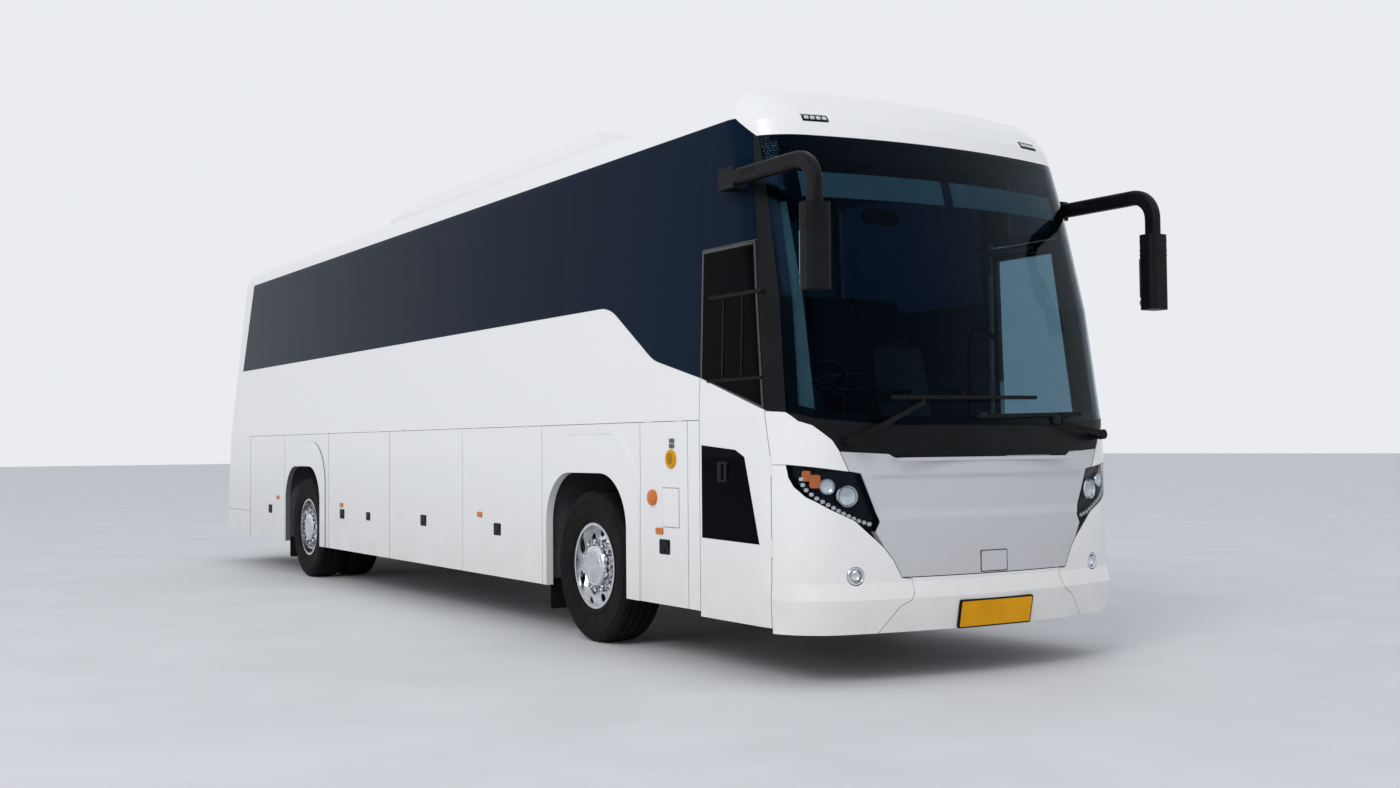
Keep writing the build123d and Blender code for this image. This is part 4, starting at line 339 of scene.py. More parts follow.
# %% Tyre rubber
def tyre_rubber_finish():
    """Carbon-black rubber with dust drifts and a fine pebbled skin."""
    material, surface = start_finish("tyre_rubber", "#101011", 0.72, **{"Specular IOR Level": PLASTIC_SHEEN})
    vary_colour(material, surface, "#0e0e0f", "#1e1d1b", 130, 0.45, 0.75)
    vary_gloss(material, surface, 0.6, 0.85, 60)
    fine_bump(material, surface, 10, 0.4, 0.4)
    return material


tyre_rubber = tyre_rubber_finish()

# %% [markdown]
# The wheels are forged aluminium, machined and polished, so they mirror the road and the sky.
# The marks of the tool stay as a faint grain, and the metal keeps the default index of refraction.
# Axles are cast iron, the frame is black chassis enamel, and small arms are bare brushed steel.

# %% Metals
def machined_metal(name, colour, tarnish, roughness, mark_mm, mark_height_mm=0.03):
    """A metal with tool marks and a slight tarnish."""
    material, surface = start_finish(name, colour, roughness, Metallic=1.0)
    vary_colour(material, surface, colour, tarnish, 60)
    vary_gloss(material, surface, roughness, roughness + 0.12, 45)
    fine_bump(material, surface, mark_mm, mark_height_mm, 0.3)
    return material


polished_aluminium = machined_metal("polished_aluminium", "#e4e5e8", "#cfd0d3", 0.08, 20, 0.003)
brushed_steel = machined_metal("brushed_steel", "#8b8d90", "#6d6e70", 0.38, 12)
mirror_chrome = machined_metal("vacuum_chrome", "#e3e5e8", "#d4d6da", 0.06, 30, 0.005)
cast_iron = moulded_plastic("cast_iron_skin", "#3a3937", "#4d4843", 0.75, 14)
chassis_enamel = moulded_plastic("chassis_enamel", "#1d1e20", "#38342f", 0.5, 25)

# %% [markdown]
# Lamp covers are clear polycarbonate. Direction lamps and side reflectors are amber acrylic
# with a ribbed back, and the tail lamps are deep red.
# Ribs are about 4 mm apart on the real ones, and they are drawn at 12 mm here.

# %% Lamp plastics
POLYCARBONATE_IOR = 1.58
RIB_MM = 12


def lamp_plastic(name, colour, second, clear):
    """Coloured lamp acrylic: partly clear, glossy, with ribs behind it."""
    values = {"Transmission Weight": clear, "IOR": POLYCARBONATE_IOR}
    material, surface = start_finish(name, colour, 0.08, **values)
    vary_colour(material, surface, colour, second, RIB_MM)
    fine_bump(material, surface, RIB_MM, 1.2, 0.6)
    return material


amber_acrylic = lamp_plastic("amber_acrylic", "#d9691a", "#f08a2a", 0.2)
red_acrylic = lamp_plastic("red_acrylic", "#8f0f12", "#b3161a", 0.2)
clear_polycarbonate = float_glass("clear_polycarbonate", "#f1f4f6", 300, 0.05)
frosted_white = lamp_plastic("frosted_white_acrylic", "#dfe4e8", "#f2f5f8", 0.2)

# %% [markdown]
# Inside, the floor is a hard-wearing vinyl with a fleck, the crew seats are black leather,
# and the saloon seats are a dark blue-grey moquette. Moquette has loops of about 2 mm, drawn here at 7 mm.

# %% Cabin finishes
def seat_leather_finish():
    """Black leather: pebbled grain, and a soft sheen where it is sat on."""
    material, surface = start_finish("seat_leather", "#17181a", 0.42)
    vary_colour(material, surface, "#141517", "#222427", 70)
    vary_gloss(material, surface, 0.34, 0.55, 120)
    grain = node(material, "ShaderNodeTexVoronoi", {"Scale": per_metre(9)}, feature="DISTANCE_TO_EDGE")
    place = node(material, "ShaderNodeTexCoord")
    material.node_tree.links.new(place.outputs["Object"], grain.inputs["Vector"])
    bump = node(
        material, "ShaderNodeBump", {"Strength": 0.5, "Distance": 0.001},
        {"Height": grain.outputs["Distance"]},
    )
    link(material, bump.outputs["Normal"], surface, "Normal")
    return material


def moquette_finish():
    """Woven pile cloth: two close blues in a small check, and a velvet sheen."""
    material, surface = start_finish("seat_moquette", "#252c3a", 0.9, **{"Sheen Weight": 0.4})
    place = node(material, "ShaderNodeTexCoord")
    weave = node(
        material, "ShaderNodeTexWave", {"Scale": per_metre(7) / 10, "Distortion": 1.5},
        {"Vector": place.outputs["Object"]}, bands_direction="DIAGONAL",
    )
    colour = mix_colours(material, weave.outputs["Fac"], "#1f2633", "#343e52")
    link(material, colour, surface, "Base Color")
    fine_bump(material, surface, 7, 0.8, 0.6)
    return material


seat_leather = seat_leather_finish()
seat_moquette = moquette_finish()
floor_vinyl = moulded_plastic("floor_vinyl", "#4b4d50", "#5a5c5f", 0.6, 6)
print("materials", len(bpy.data.materials))

# %% [markdown]
# Every CAD node now gets its finish. The meshes stay as they are; only their material slots change.
# Each mesh keeps the smooth normals that it came with, because flat shading would show the facets.

# %% Dress the CAD nodes
FINISH_OF = {
    white_polyurethane: (
        "roof air_conditioning_fairing side_wall_left side_wall_right skirts front_panels rear_wall engine_lid"
        " door_headers driver_door passenger_door luggage_flap_front_left luggage_flap_front_right"
        " luggage_flap_middle_left luggage_flap_middle_right luggage_flap_rear_left luggage_flap_rear_right"
        " engine_side_flap_left engine_side_flap_right service_flap_right"
    ),
    silver_polyurethane: "front_lid",
    privacy_glass: "side_glass rear_window",
    laminated_glass: "windscreen",
    door_glass_painted_shade: "driver_door_glass",
    door_glass: "passenger_door_glass",
    black_abs: "windscreen_surround mirrors",
    wiper_rubber: "wiper_left wiper_right",
    clear_polycarbonate: "front_lamps",
    red_acrylic: "rear_lamps",
    chassis_enamel: "front_frame chassis_frame front_lid_arms engine_block",
    cast_iron: "front_axle_beam rear_axle steering_knuckle_left steering_knuckle_right",
    brushed_steel: "track_rod door_swing_arm",
    polished_aluminium: "front_wheel_left front_wheel_right rear_wheel_left rear_wheel_right",
    tyre_rubber: "front_tyre_left front_tyre_right rear_tyres_left rear_tyres_right",
    floor_vinyl: "body_floor",
    dash_abs: "dashboard steering_wheel",
    seat_leather: "crew_seats",
    seat_moquette: "saloon_seats",
}


def dress(piece, material):
    """Gives a mesh this one material."""
    piece.data.materials.clear()
    piece.data.materials.append(material)


for material, names in FINISH_OF.items():
    for name in names.split():
        dress(nodes[name], material)
dressed = {name for names in FINISH_OF.values() for name in names.split()}
print("CAD nodes without a finish:", sorted(set(nodes) - dressed))

# %% [markdown]
# The studio is a pale floor under an even white sky, with one wide lamp high on the driver's side.
# The sky fills the shadows; the lamp gives the body its bright side and its soft shadow on the floor.
# The eye, glass and polished metal see a nearly white sky, but the coach is lit by a weaker one,
# so that white paint doesn't clip.

# %% Studio
SKY_LIGHT = 0.67
SKY_SEEN = 0.92
FLOOR_SIZE = 260
KEY_PLACE = (-22, -17, 19)
KEY_AIM = (0, -2, 1)
KEY_SIZE = 12
KEY_POWER = 2900


def pale_sky():
    """A white world, brighter to the eye and in reflections than in the light that it gives."""
    world = bpy.data.worlds.new("studio_sky")
    bpy.context.scene.world = world
    world.use_nodes = True
    world.node_tree.nodes.clear()
    path = node(world, "ShaderNodeLightPath")
    seen = node(world, "ShaderNodeBackground", {"Color": linear("#f3f5f8"), "Strength": SKY_SEEN})
    lit = node(world, "ShaderNodeBackground", {"Color": linear("#f4f7ff"), "Strength": SKY_LIGHT})
    mirrored = node(
        world, "ShaderNodeMath",
        feeds={0: path.outputs["Is Camera Ray"], 1: path.outputs["Is Transmission Ray"]}, operation="MAXIMUM",
    )
    shown = node(
        world, "ShaderNodeMath",
        feeds={0: mirrored.outputs["Value"], 1: path.outputs["Is Glossy Ray"]}, operation="MAXIMUM",
    )
    mix = node(
        world, "ShaderNodeMixShader",
        feeds={0: shown.outputs["Value"], 1: lit.outputs["Background"], 2: seen.outputs["Background"]},
    )
    node(world, "ShaderNodeOutputWorld", feeds={"Surface": mix.outputs["Shader"]})


def studio_floor():
    """A large pale floor, a little uneven in tone like swept concrete."""
    mesh = bmesh.new()
    bmesh.ops.create_grid(mesh, x_segments=8, y_segments=8, size=FLOOR_SIZE / 2)
    floor = bpy.data.objects.new("studio_floor", bpy.data.meshes.new("studio_floor"))
    mesh.to_mesh(floor.data)
    bpy.context.scene.collection.objects.link(floor)
    material, surface = start_finish("pale_floor", "#e2e3e4", 0.7)
    vary_colour(material, surface, "#dfe0e1", "#e5e6e7", 900)
    dress(floor, material)


def key_lamp():
    """A wide soft lamp that looks at the coach's front half."""
    lamp = bpy.data.lights.new("key_lamp", "AREA")
    lamp.energy = KEY_POWER
    lamp.size = KEY_SIZE
    holder = bpy.data.objects.new("key_lamp", lamp)
    bpy.context.scene.collection.objects.link(holder)
    holder.location = KEY_PLACE
    aim = Vector(KEY_AIM) - Vector(KEY_PLACE)
    holder.rotation_euler = aim.to_track_quat("-Z", "Y").to_euler()


pale_sky()
studio_floor()
key_lamp()

# %% [markdown]
# Small parts sit on curved panels, so each is placed by a ray: from outside the coach, along a straight line,
# to the first CAD surface that it meets. The hit gives a place and an outward direction to stand on.
# The parts themselves come from two shapes in mesh code: a slab with rounded edges, and a turned profile.

# %% Placing and shaping helpers
RIGHT, LEFT = -1, 1
SIDES = {"right": RIGHT, "left": LEFT}
FAR = 9.0
BESIDE = 3.0
WELD_DISTANCE = 0.00001


def surface_of(*names):
    """The joined surface of some CAD nodes, ready for rays."""
    points, faces = [], []
    for name in names:
        mesh = nodes[name].data
        first = len(points)
        points += [v.co.copy() for v in mesh.vertices]
        faces += [[first + i for i in p.vertices] for p in mesh.polygons]
    return BVHTree.FromPolygons(points, faces)


def stand_on(surface, start, direction, lift=0.0):
    """A frame on the surface: z looks out, x lies level, and the origin is lifted by this much."""
    direction = Vector(direction)
    place, outward, _, _ = surface.ray_cast(Vector(start), direction)
    if outward.dot(direction) > 0:
        outward = -outward
    level = Vector((0, 0, 1)).cross(outward).normalized()
    axes = Matrix((level, outward.cross(level), outward)).transposed()
    return Matrix.Translation(place + outward * lift) @ axes.to_4x4()


def rounded_box(width, height, radius, steps=4):
    """Points of a rounded rectangle round the origin."""
    points = []
    for turn, (sx, sy) in enumerate(((1, 1), (-1, 1), (-1, -1), (1, -1))):
        for step in range(steps + 1):
            angle = math.pi / 2 * (turn + step / steps)
            x = sx * (width / 2 - radius) + radius * math.cos(angle)
            points.append((x, sy * (height / 2 - radius) + radius * math.sin(angle)))
    return points


def slab(outline, low, high, edge=0.0015):
    """A flat part with this outline, from low to high, with its upper edge rounded."""
    mesh = bmesh.new()
    ring = [mesh.verts.new((x, y, low)) for x, y in outline]
    face = mesh.faces.new(ring)
    grown = bmesh.ops.extrude_face_region(mesh, geom=[face])["geom"]
    top = [v for v in grown if isinstance(v, bmesh.types.BMVert)]
    bmesh.ops.translate(mesh, vec=(0, 0, high - low), verts=top)
    if edge:
        rim = [e for e in mesh.edges if all(v in top for v in e.verts)]
        bmesh.ops.bevel(mesh, geom=rim, offset=edge, segments=2, affect="EDGES")
    bmesh.ops.recalc_face_normals(mesh, faces=mesh.faces)
    return mesh


def block(width, height, radius, low, high, edge=0.0015):
    """A slab whose outline is a rounded rectangle."""
    return slab(rounded_box(width, height, radius), low, high, edge)


def at(x, y, z):
    """A frame that is moved to this place and not turned."""
    return Matrix.Translation((x, y, z))


def turned(profile, segments=40):
    """A part turned about its own z from (radius, height) pairs."""
    mesh = bmesh.new()
    rings = []
    for radius, height in profile:
        if radius == 0:
            rings.append([mesh.verts.new((0, 0, height))] * segments)
        else:
            angles = [2 * math.pi * i / segments for i in range(segments)]
            spots = [(radius * math.cos(a), radius * math.sin(a), height) for a in angles]
            rings.append([mesh.verts.new(spot) for spot in spots])
    for first, second in zip(rings, rings[1:]):
        for i in range(segments):
            j = (i + 1) % segments
            corners = dict.fromkeys((first[i], first[j], second[j], second[i]))
            if len(corners) > 2:
                mesh.faces.new(corners)
    bmesh.ops.recalc_face_normals(mesh, faces=mesh.faces)
    return mesh


def together(*placed):
    """Joins (mesh, frame) pairs into one mesh."""
    joined = bmesh.new()
    for mesh, where in placed:
        mesh.transform(where)
        held = bpy.data.meshes.new("held")
        mesh.to_mesh(held)
        joined.from_mesh(held)
        bpy.data.meshes.remove(held)
        mesh.free()
    return joined


def fit(name, mesh, material, body, sharp=35):
    """Makes a piece from a mesh, smooth except at its sharp edges, and lets it ride on its body."""
    for face in mesh.faces:
        face.smooth = True
    for edge in mesh.edges:
        edge.smooth = len(edge.link_faces) == 2 and edge.calc_face_angle() < math.radians(sharp)
    piece = bpy.data.objects.new(name, bpy.data.meshes.new(name))
    mesh.to_mesh(piece.data)
    mesh.free()
    bpy.context.scene.collection.objects.link(piece)
    dress(piece, material)
    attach(piece, body)
    return piece


def island_of(name, chosen):
    """A copy of the loose parts of a CAD node whose middle passes the test."""
    mesh = bmesh.new()
    mesh.from_mesh(nodes[name].data)
    bmesh.ops.remove_doubles(mesh, verts=mesh.verts, dist=WELD_DISTANCE)
    left = set(mesh.verts)
    drop = []
    while left:
        group, edge_of_group = set(), [left.pop()]
        while edge_of_group:
            vert = edge_of_group.pop()
            group.add(vert)
            for edge in vert.link_edges:
                other = edge.other_vert(vert)
                if other in left:
                    left.discard(other)
                    edge_of_group.append(other)
        middle = sum((v.co for v in group), Vector()) / len(group)
        if not chosen(middle):
            drop += group
    bmesh.ops.delete(mesh, geom=drop, context="VERTS")
    return mesh


# %% [markdown]
# A headlamp is a clear polycarbonate cover over a dark bowl. In the bowl sit two projector lenses in chrome
# rings, an amber direction lamp at the outer end, and a row of small white position lamps along the lower edge.
# The CAD lamp is one solid block. Its outer skin becomes the cover and its other faces become the bowl.

# %% Headlamps
COVER_THICK = 0.003
PROJECTORS = ((0.936, 1.037, 0.050), (1.052, 1.091, 0.036))
AMBER_SPOTS = ((1.112, 1.120, 0.030), (1.150, 1.150, 0.024))
POSITION_LAMPS = 15
POSITION_EDGE = (
    (1.172, 1.150), (1.160, 1.085), (1.115, 1.035), (1.040, 0.985),
    (0.960, 0.940), (0.880, 0.902), (0.800, 0.878),
)
PROJECTOR_DEPTH, AMBER_DEPTH, POSITION_DEPTH = -0.036, -0.03, -0.014
RING_SHAPE = ((1.28, 0), (1.3, 0.012), (1.18, 0.02), (1.04, 0.012), (1, 0))
REFLECTOR_SHAPE = ((0.98, 0.001), (0.6, -0.004), (0, -0.006))
HEADLAMP_FROM_X, HEADLAMP_ZS = 0.4, (0.8, 1.3)
LAMP_LOOKS, COVER_FACING = (0.45, -0.9), 0.7
lamp_surface = surface_of("front_lamps")


def along(points, share):
    """The place at this share of a line's length."""
    spans = [math.dist(a, b) for a, b in zip(points, points[1:])]
    distance = share * sum(spans)
    for (a, b), span in zip(zip(points, points[1:]), spans):
        if distance <= span:
            return tuple(p + (q - p) * distance / span for p, q in zip(a, b))
        distance -= span
    return points[-1]


def lamp_spot(side, x, z, lift):
    """A frame on a front lamp, seen from straight ahead."""
    return stand_on(lamp_surface, (side * x, -FAR, z), (0, 1, 0), lift)


def is_headlamp(side):
    """A test for the loose part that is this side's headlamp."""
    low, high = HEADLAMP_ZS
    return lambda middle: side * middle.x > HEADLAMP_FROM_X and low < middle.z < high


def split_lamp(side):
    """The cover and the bowl of one headlamp, from the CAD lamp's faces."""
    cover, bowl = (island_of("front_lamps", is_headlamp(side)) for _ in range(2))
    looks = Vector((side * LAMP_LOOKS[0], LAMP_LOOKS[1], 0))
    for mesh, keep_front in ((cover, True), (bowl, False)):
        away = []
        for face in mesh.faces:
            if (looks.dot(face.normal) > COVER_FACING) != keep_front:
                away.append(face)
        bmesh.ops.delete(mesh, geom=away, context="FACES")
    bmesh.ops.reverse_faces(bowl, faces=bowl.faces)
    return cover, bowl


for side_name, side in SIDES.items():
    cover, bowl = split_lamp(side)
    cover_piece = fit(f"headlamp_cover_{side_name}", cover, clear_polycarbonate, "coach_body")
    cover_piece.modifiers.new("thickness", "SOLIDIFY").thickness = COVER_THICK
    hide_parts("front_lamps")
    fit(f"headlamp_bowl_{side_name}", bowl, gloss_black, "coach_body")
    rings, lenses = [], []
    for x, z, radius in PROJECTORS:
        where = lamp_spot(side, x, z, PROJECTOR_DEPTH)
        ring = [(radius * wide, high) for wide, high in RING_SHAPE]
        dome = [(radius * math.cos(a), 0.006 + 0.016 * math.sin(a)) for a in (0, 0.35, 0.7, 1.0, 1.3)]
        rings.append((turned(ring), where))
        lenses.append((turned([*dome, (0, 0.022)]), where))
    fit(f"headlamp_rings_{side_name}", together(*rings), mirror_chrome, "coach_body")
    fit(f"headlamp_lenses_{side_name}", together(*lenses), clear_polycarbonate, "coach_body")
    backs = []
    for x, z, radius in PROJECTORS:
        back = turned([(radius * wide, high) for wide, high in REFLECTOR_SHAPE])
        backs.append((back, lamp_spot(side, x, z, PROJECTOR_DEPTH)))
    fit(f"headlamp_reflectors_{side_name}", together(*backs), mirror_chrome, "coach_body")
    ambers = [
        (block(2 * r, 2.4 * r, r * 0.4, 0, 0.012, 0.004), lamp_spot(side, x, z, AMBER_DEPTH))
        for x, z, r in AMBER_SPOTS
    ]
    fit(f"headlamp_amber_{side_name}", together(*ambers), amber_acrylic, "coach_body")
    dots = []
    for i in range(POSITION_LAMPS):
        x, z = along(POSITION_EDGE, (i + 0.5) / POSITION_LAMPS)
        dot = block(0.024, 0.020, 0.006, 0, 0.008, 0.003)
        dots.append((dot, lamp_spot(side, x, z, POSITION_DEPTH)))
    fit(f"headlamp_position_row_{side_name}", together(*dots), frosted_white, "coach_body")
print("headlamps with", POSITION_LAMPS, "position lamps a side")

# %% [markdown]
# The fog lamps are round and sit deep in the bumper corners: a chrome ring, a chrome bowl and a lens.
# The roof markers are four small white lamps on a dark base; the clear strip that covers them is not built.

# %% Fog lamps and roof markers
FOG_PLACE = (0.906, 0.600)
FOG_DEPTH = -0.012
FOG_LENS_RADIUS = 0.038
MARKER_PLACE = (0.836, 3.212)
MARKER_LAMPS = 4
MARKER_PITCH = 0.038
for side_name, side in SIDES.items():
    where = lamp_spot(side, *FOG_PLACE, FOG_DEPTH)
    ring = [(0.050, -0.03), (0.050, 0.010), (0.046, 0.014), (0.040, 0.010), (0.038, 0)]
    fit(f"fog_ring_{side_name}", together((turned(ring), where)), mirror_chrome, "coach_body")
    bowl = [(0.039, 0.002), (0.030, -0.010), (0.012, -0.018), (0, -0.019)]
    fit(f"fog_bowl_{side_name}", together((turned(bowl), where)), mirror_chrome, "coach_body")
    lens = [(FOG_LENS_RADIUS * math.cos(a), 0.004 + 0.006 * math.sin(a)) for a in (0, 0.4, 0.8, 1.2)]
    lens = turned([*lens, (0, 0.010)])
    fit(f"fog_lens_{side_name}", together((lens, where)), clear_polycarbonate, "coach_body")
    base = lamp_spot(side, *MARKER_PLACE, 0.0)
    fit(
        f"roof_marker_base_{side_name}",
        together((block(0.162, 0.042, 0.008, -0.006, 0.002, 0.001), base)),
        gloss_black, "coach_body",
    )
    bulbs = []
    for i in range(MARKER_LAMPS):
        bulb = block(0.028, 0.026, 0.005, 0.001, 0.006, 0.002)
        x = (i - (MARKER_LAMPS - 1) / 2) * MARKER_PITCH
        bulbs.append((bulb, base @ at(x, 0, 0)))
    fit(f"roof_marker_lamps_{side_name}", together(*bulbs), frosted_white, "coach_body")
print("fog lamps at", FOG_PLACE, "roof markers at", MARKER_PLACE)

# %% [markdown]
# The bonnet is one moulded panel in silver-grey. A shallow recess runs across it between two creases,
# sharp along the top and soft along the bottom, and it fades out towards the headlamps.
# The CAD panel is smooth, so a copy of it is cut into fine strips, and its points are pushed in.

# %% Bonnet
RECESS_DEPTH = 0.014
RECESS_TOP = (1.152, 1.128)
RECESS_FOOT = (0.955, 0.905)
RECESS_FADE = (0.70, 0.88)
STRIP, STRIPS_FROM_Z, STRIPS_TO_Z = 0.012, 0.60, 1.27
COLUMN, COLUMNS_A_SIDE = 0.04, 24


def smooth_share(value, start, end):
    """0 at start, 1 at end, and a smooth turn between them."""
    share = min(1.0, max(0.0, (value - start) / (end - start)))
    return share * share * (3 - 2 * share)


bonnet = bmesh.new()
bonnet.from_mesh(nodes["front_lid"].data)
bmesh.ops.remove_doubles(bonnet, verts=bonnet.verts, dist=WELD_DISTANCE)
z = STRIPS_FROM_Z
while z < STRIPS_TO_Z:
    bmesh.ops.bisect_plane(
        bonnet, geom=[*bonnet.verts, *bonnet.edges, *bonnet.faces], plane_co=(0, 0, z), plane_no=(0, 0, 1)
    )
    z += STRIP
for i in range(-COLUMNS_A_SIDE, COLUMNS_A_SIDE + 1):
    bmesh.ops.bisect_plane(
        bonnet, geom=[*bonnet.verts, *bonnet.edges, *bonnet.faces],
        plane_co=(i * COLUMN, 0, 0), plane_no=(1, 0, 0),
    )
for vert in bonnet.verts:
    inside = smooth_share(vert.co.z, *RECESS_TOP) * (1 - smooth_share(vert.co.z, *RECESS_FOOT))
    fade = 1 - smooth_share(abs(vert.co.x), *RECESS_FADE)
    vert.co.y += RECESS_DEPTH * inside * fade
bonnet_piece = fit("bonnet", bonnet, silver_polyurethane, "front_lid")
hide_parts("front_lid")
front_surface = surface_of("front_lid", "front_panels")
grip = stand_on(front_surface, (0, -FAR, 1.236), (0, 1, 0))
fit(
    "bonnet_grip", together((block(1.36, 0.022, 0.008, -0.01, 0.006, 0.003), grip)),
    silver_polyurethane, "front_lid",
)
hook_cover = stand_on(front_surface, (0.012, -FAR, 0.652), (0, 1, 0))
fit(
    "tow_hook_gap", together((block(0.204, 0.124, 0.008, -0.004, 0.0012, 0), hook_cover)),
    window_rubber, "front_lid",
)
fit(
    "tow_hook_cover", together((block(0.194, 0.114, 0.006, -0.004, 0.0035, 0.002), hook_cover)),
    silver_polyurethane, "front_lid",
)
print("bonnet recess", RECESS_DEPTH * 1000, "mm deep")

# %% [markdown]
# A number plate is a pressed aluminium sheet with a reflective film. This one is yellow with a black rim,
# and it stays blank. The rear has one like it.

# %% Number plates
yellow_film = moulded_plastic("reflective_yellow_film", "#e9a50f", "#dd9a0b", 0.35, 10)
PLATE_SIZE = (0.555, 0.165)
FILM_INSET = 0.018
rear_surface = surface_of("rear_wall", "engine_lid")
for plate_name, where in (
    ("front", stand_on(front_surface, (0.01, -FAR, 0.362), (0, 1, 0))),
    ("rear", stand_on(rear_surface, (0.0, FAR, 0.535), (0, -1, 0))),
):
    width, height = PLATE_SIZE
    rim = block(width, height, 0.012, -0.02, 0.006, 0.002)
    fit(f"plate_rim_{plate_name}", together((rim, where)), black_abs, "coach_body")
    film = block(width - FILM_INSET, height - FILM_INSET, 0.008, 0.0, 0.0072, 0.001)
    fit(f"plate_film_{plate_name}", together((film, where)), yellow_film, "coach_body")
print("plates", PLATE_SIZE)

# %% [markdown]
# Each locker flap has a black paddle latch in a wide plate, and amber reflectors run along the side.
# The service flap behind the driver's door also has a round direction lamp, a yellow cut-off ring,
# a small plate and a filler cover.
# Both sides carry the same latches and reflectors, but only the driver's side has a service flap.

# %% Latches, reflectors and side lamps
side_nodes = {
    side: [n for n in nodes if n == "skirts" or n.endswith(f"_{name}") and ("flap" in n)]
    for name, side in SIDES.items()
}
side_surface = {side: surface_of(*names) for side, names in side_nodes.items()}
LATCHES = (
    ("service_flap", -4.438, 0.701, 0.085), ("luggage_flap_front", -1.931, 0.702, 0.085),
    ("luggage_flap_middle", -0.415, 0.712, 0.085), ("luggage_flap_rear", 0.965, 0.697, 0.07),
    ("luggage_flap_rear", 1.707, 0.694, 0.085), ("engine_side_flap", 4.158, 0.669, 0.085),
)
REFLECTORS = (
    ("service_flap", -4.378, 0.796), ("luggage_flap_front", -1.603, 0.803),
    ("luggage_flap_rear", 1.722, 0.779), ("engine_side_flap", 3.86, 0.80),
)


def side_spot(side, y, z):
    """A frame on the coach's lower side."""
    return stand_on(side_surface[side], (side * BESIDE, y, z), (-side, 0, 0))


def body_under(side_name, part):
    """The flap that carries a small part, or the coach's body where there is no such flap."""
    name = f"{part}_{side_name}"
    return name if name in frame["bodies"] else "coach_body"


def paddle_latch(size):
    """A wide escutcheon with a sunk paddle and a lock cylinder."""
    escutcheon = block(size * 1.5, size * 1.08, size * 0.12, -0.004, 0.004, 0.002)
    paddle = block(size * 1.15, size * 0.5, size * 0.08, 0.003, 0.008, 0.002)
    lock = turned([(size * 0.1, 0.003), (size * 0.1, 0.008), (size * 0.07, 0.010), (0, 0.010)], 20)
    return together(
        (escutcheon, Matrix.Identity(4)),
        (paddle, at(0, size * 0.2, 0)),
        (lock, at(0, -size * 0.24, 0)),
    )


for side_name, side in SIDES.items():
    for i, (part, y, z, size) in enumerate(LATCHES):
        if part == "service_flap" and side == LEFT:
            continue
        latch = together((paddle_latch(size), side_spot(side, y, z)))
        fit(f"latch_{i}_{side_name}", latch, black_abs, body_under(side_name, part))
    for i, (part, y, z) in enumerate(REFLECTORS):
        if part == "service_flap" and side == LEFT:
            continue
        strip = block(0.085, 0.040, 0.008, -0.002, 0.009, 0.003)
        fit(
            f"reflector_{i}_{side_name}", together((strip, side_spot(side, y, z))),
            amber_acrylic, body_under(side_name, part),
        )
lamp_place = side_spot(RIGHT, -4.298, 1.001)
dome = [(0.050, 0.0), (0.050, 0.010), (0.046, 0.020), (0.030, 0.028), (0.012, 0.031), (0, 0.031)]
fit(
    "direction_lamp_right", together((turned(dome), lamp_place)),
    amber_acrylic, "service_flap_right",
)
ring_place = side_spot(RIGHT, -4.524, 1.242)
ring = [(0.058, 0.0), (0.056, 0.012), (0.048, 0.017), (0.036, 0.014), (0.033, 0.006)]
fit("cut_off_ring", together((turned(ring), ring_place)), yellow_film, "service_flap_right")
button = [(0.033, 0.006), (0.031, 0.011), (0.020, 0.013), (0, 0.013)]
ochre_enamel = moulded_plastic("ochre_enamel", "#b98a20", "#a87a18", 0.4, 20)
fit("cut_off_button", together((turned(button), ring_place)), ochre_enamel, "service_flap_right")
label_place = side_spot(RIGHT, -4.530, 1.337)
label_bars = [
    (block(0.028, 0.028, 0.003, 0.0, 0.004, 0.001), label_place @ at(x, y, 0))
    for x in (-0.016, 0.016) for y in (-0.016, 0.016)
]
fit("service_plate", together(*label_bars), brushed_steel, "service_flap_right")
hatch = side_spot(RIGHT, -4.514, 0.944)
fit(
    "filler_gap", together((block(0.200, 0.244, 0.010, -0.004, 0.0008, 0), hatch)),
    window_rubber, "service_flap_right",
)
fit(
    "filler_cover", together((block(0.194, 0.238, 0.008, -0.004, 0.003, 0.0015), hatch)),
    white_polyurethane, "service_flap_right",
)
print("latches", len(LATCHES), "reflectors", len(REFLECTORS), "a side")

# %% [markdown]
# The glass above the driver's door sill is framed in black, so the white paint stops at a slanting line.
# Both doors get a finish that turns from white to gloss black above that line, in the door's own coordinates.
# The driver's handle is a black bar and grip on a square plate, on the lower dark pane.

# %% Doors
LINE_FOOT = (-5.525, 1.52)
LINE_TOP = (-4.851, 1.724)


def two_tone(name, upper):
    """White paint below the slanting line, and the upper colour above it."""
    material, surface = start_finish(name, WHITE, 0.22, **CLEAR_COAT)
    place = node(material, "ShaderNodeTexCoord")
    split = node(material, "ShaderNodeSeparateXYZ", feeds={"Vector": place.outputs["Object"]})
    slope = (LINE_TOP[1] - LINE_FOOT[1]) / (LINE_TOP[0] - LINE_FOOT[0])
    rise = node(material, "ShaderNodeMath", feeds={0: split.outputs["Y"]}, operation="MULTIPLY_ADD")
    rise.inputs[1].default_value = slope
    rise.inputs[2].default_value = LINE_FOOT[1] - slope * LINE_FOOT[0]
    above = node(
        material, "ShaderNodeMath",
        feeds={0: split.outputs["Z"], 1: rise.outputs["Value"]}, operation="GREATER_THAN",
    )
    painted = mix_colours(material, dust_share(material, place), WHITE, ROAD_DUST)
    trimmed = mix_colours(material, inward_mask(material, place), painted, FELT_GREY)
    link(material, mix_colours(material, above.outputs["Value"], trimmed, upper), surface, "Base Color")
    fine_bump(material, surface, ORANGE_PEEL_MM, 0.05, 0.3)
    return material


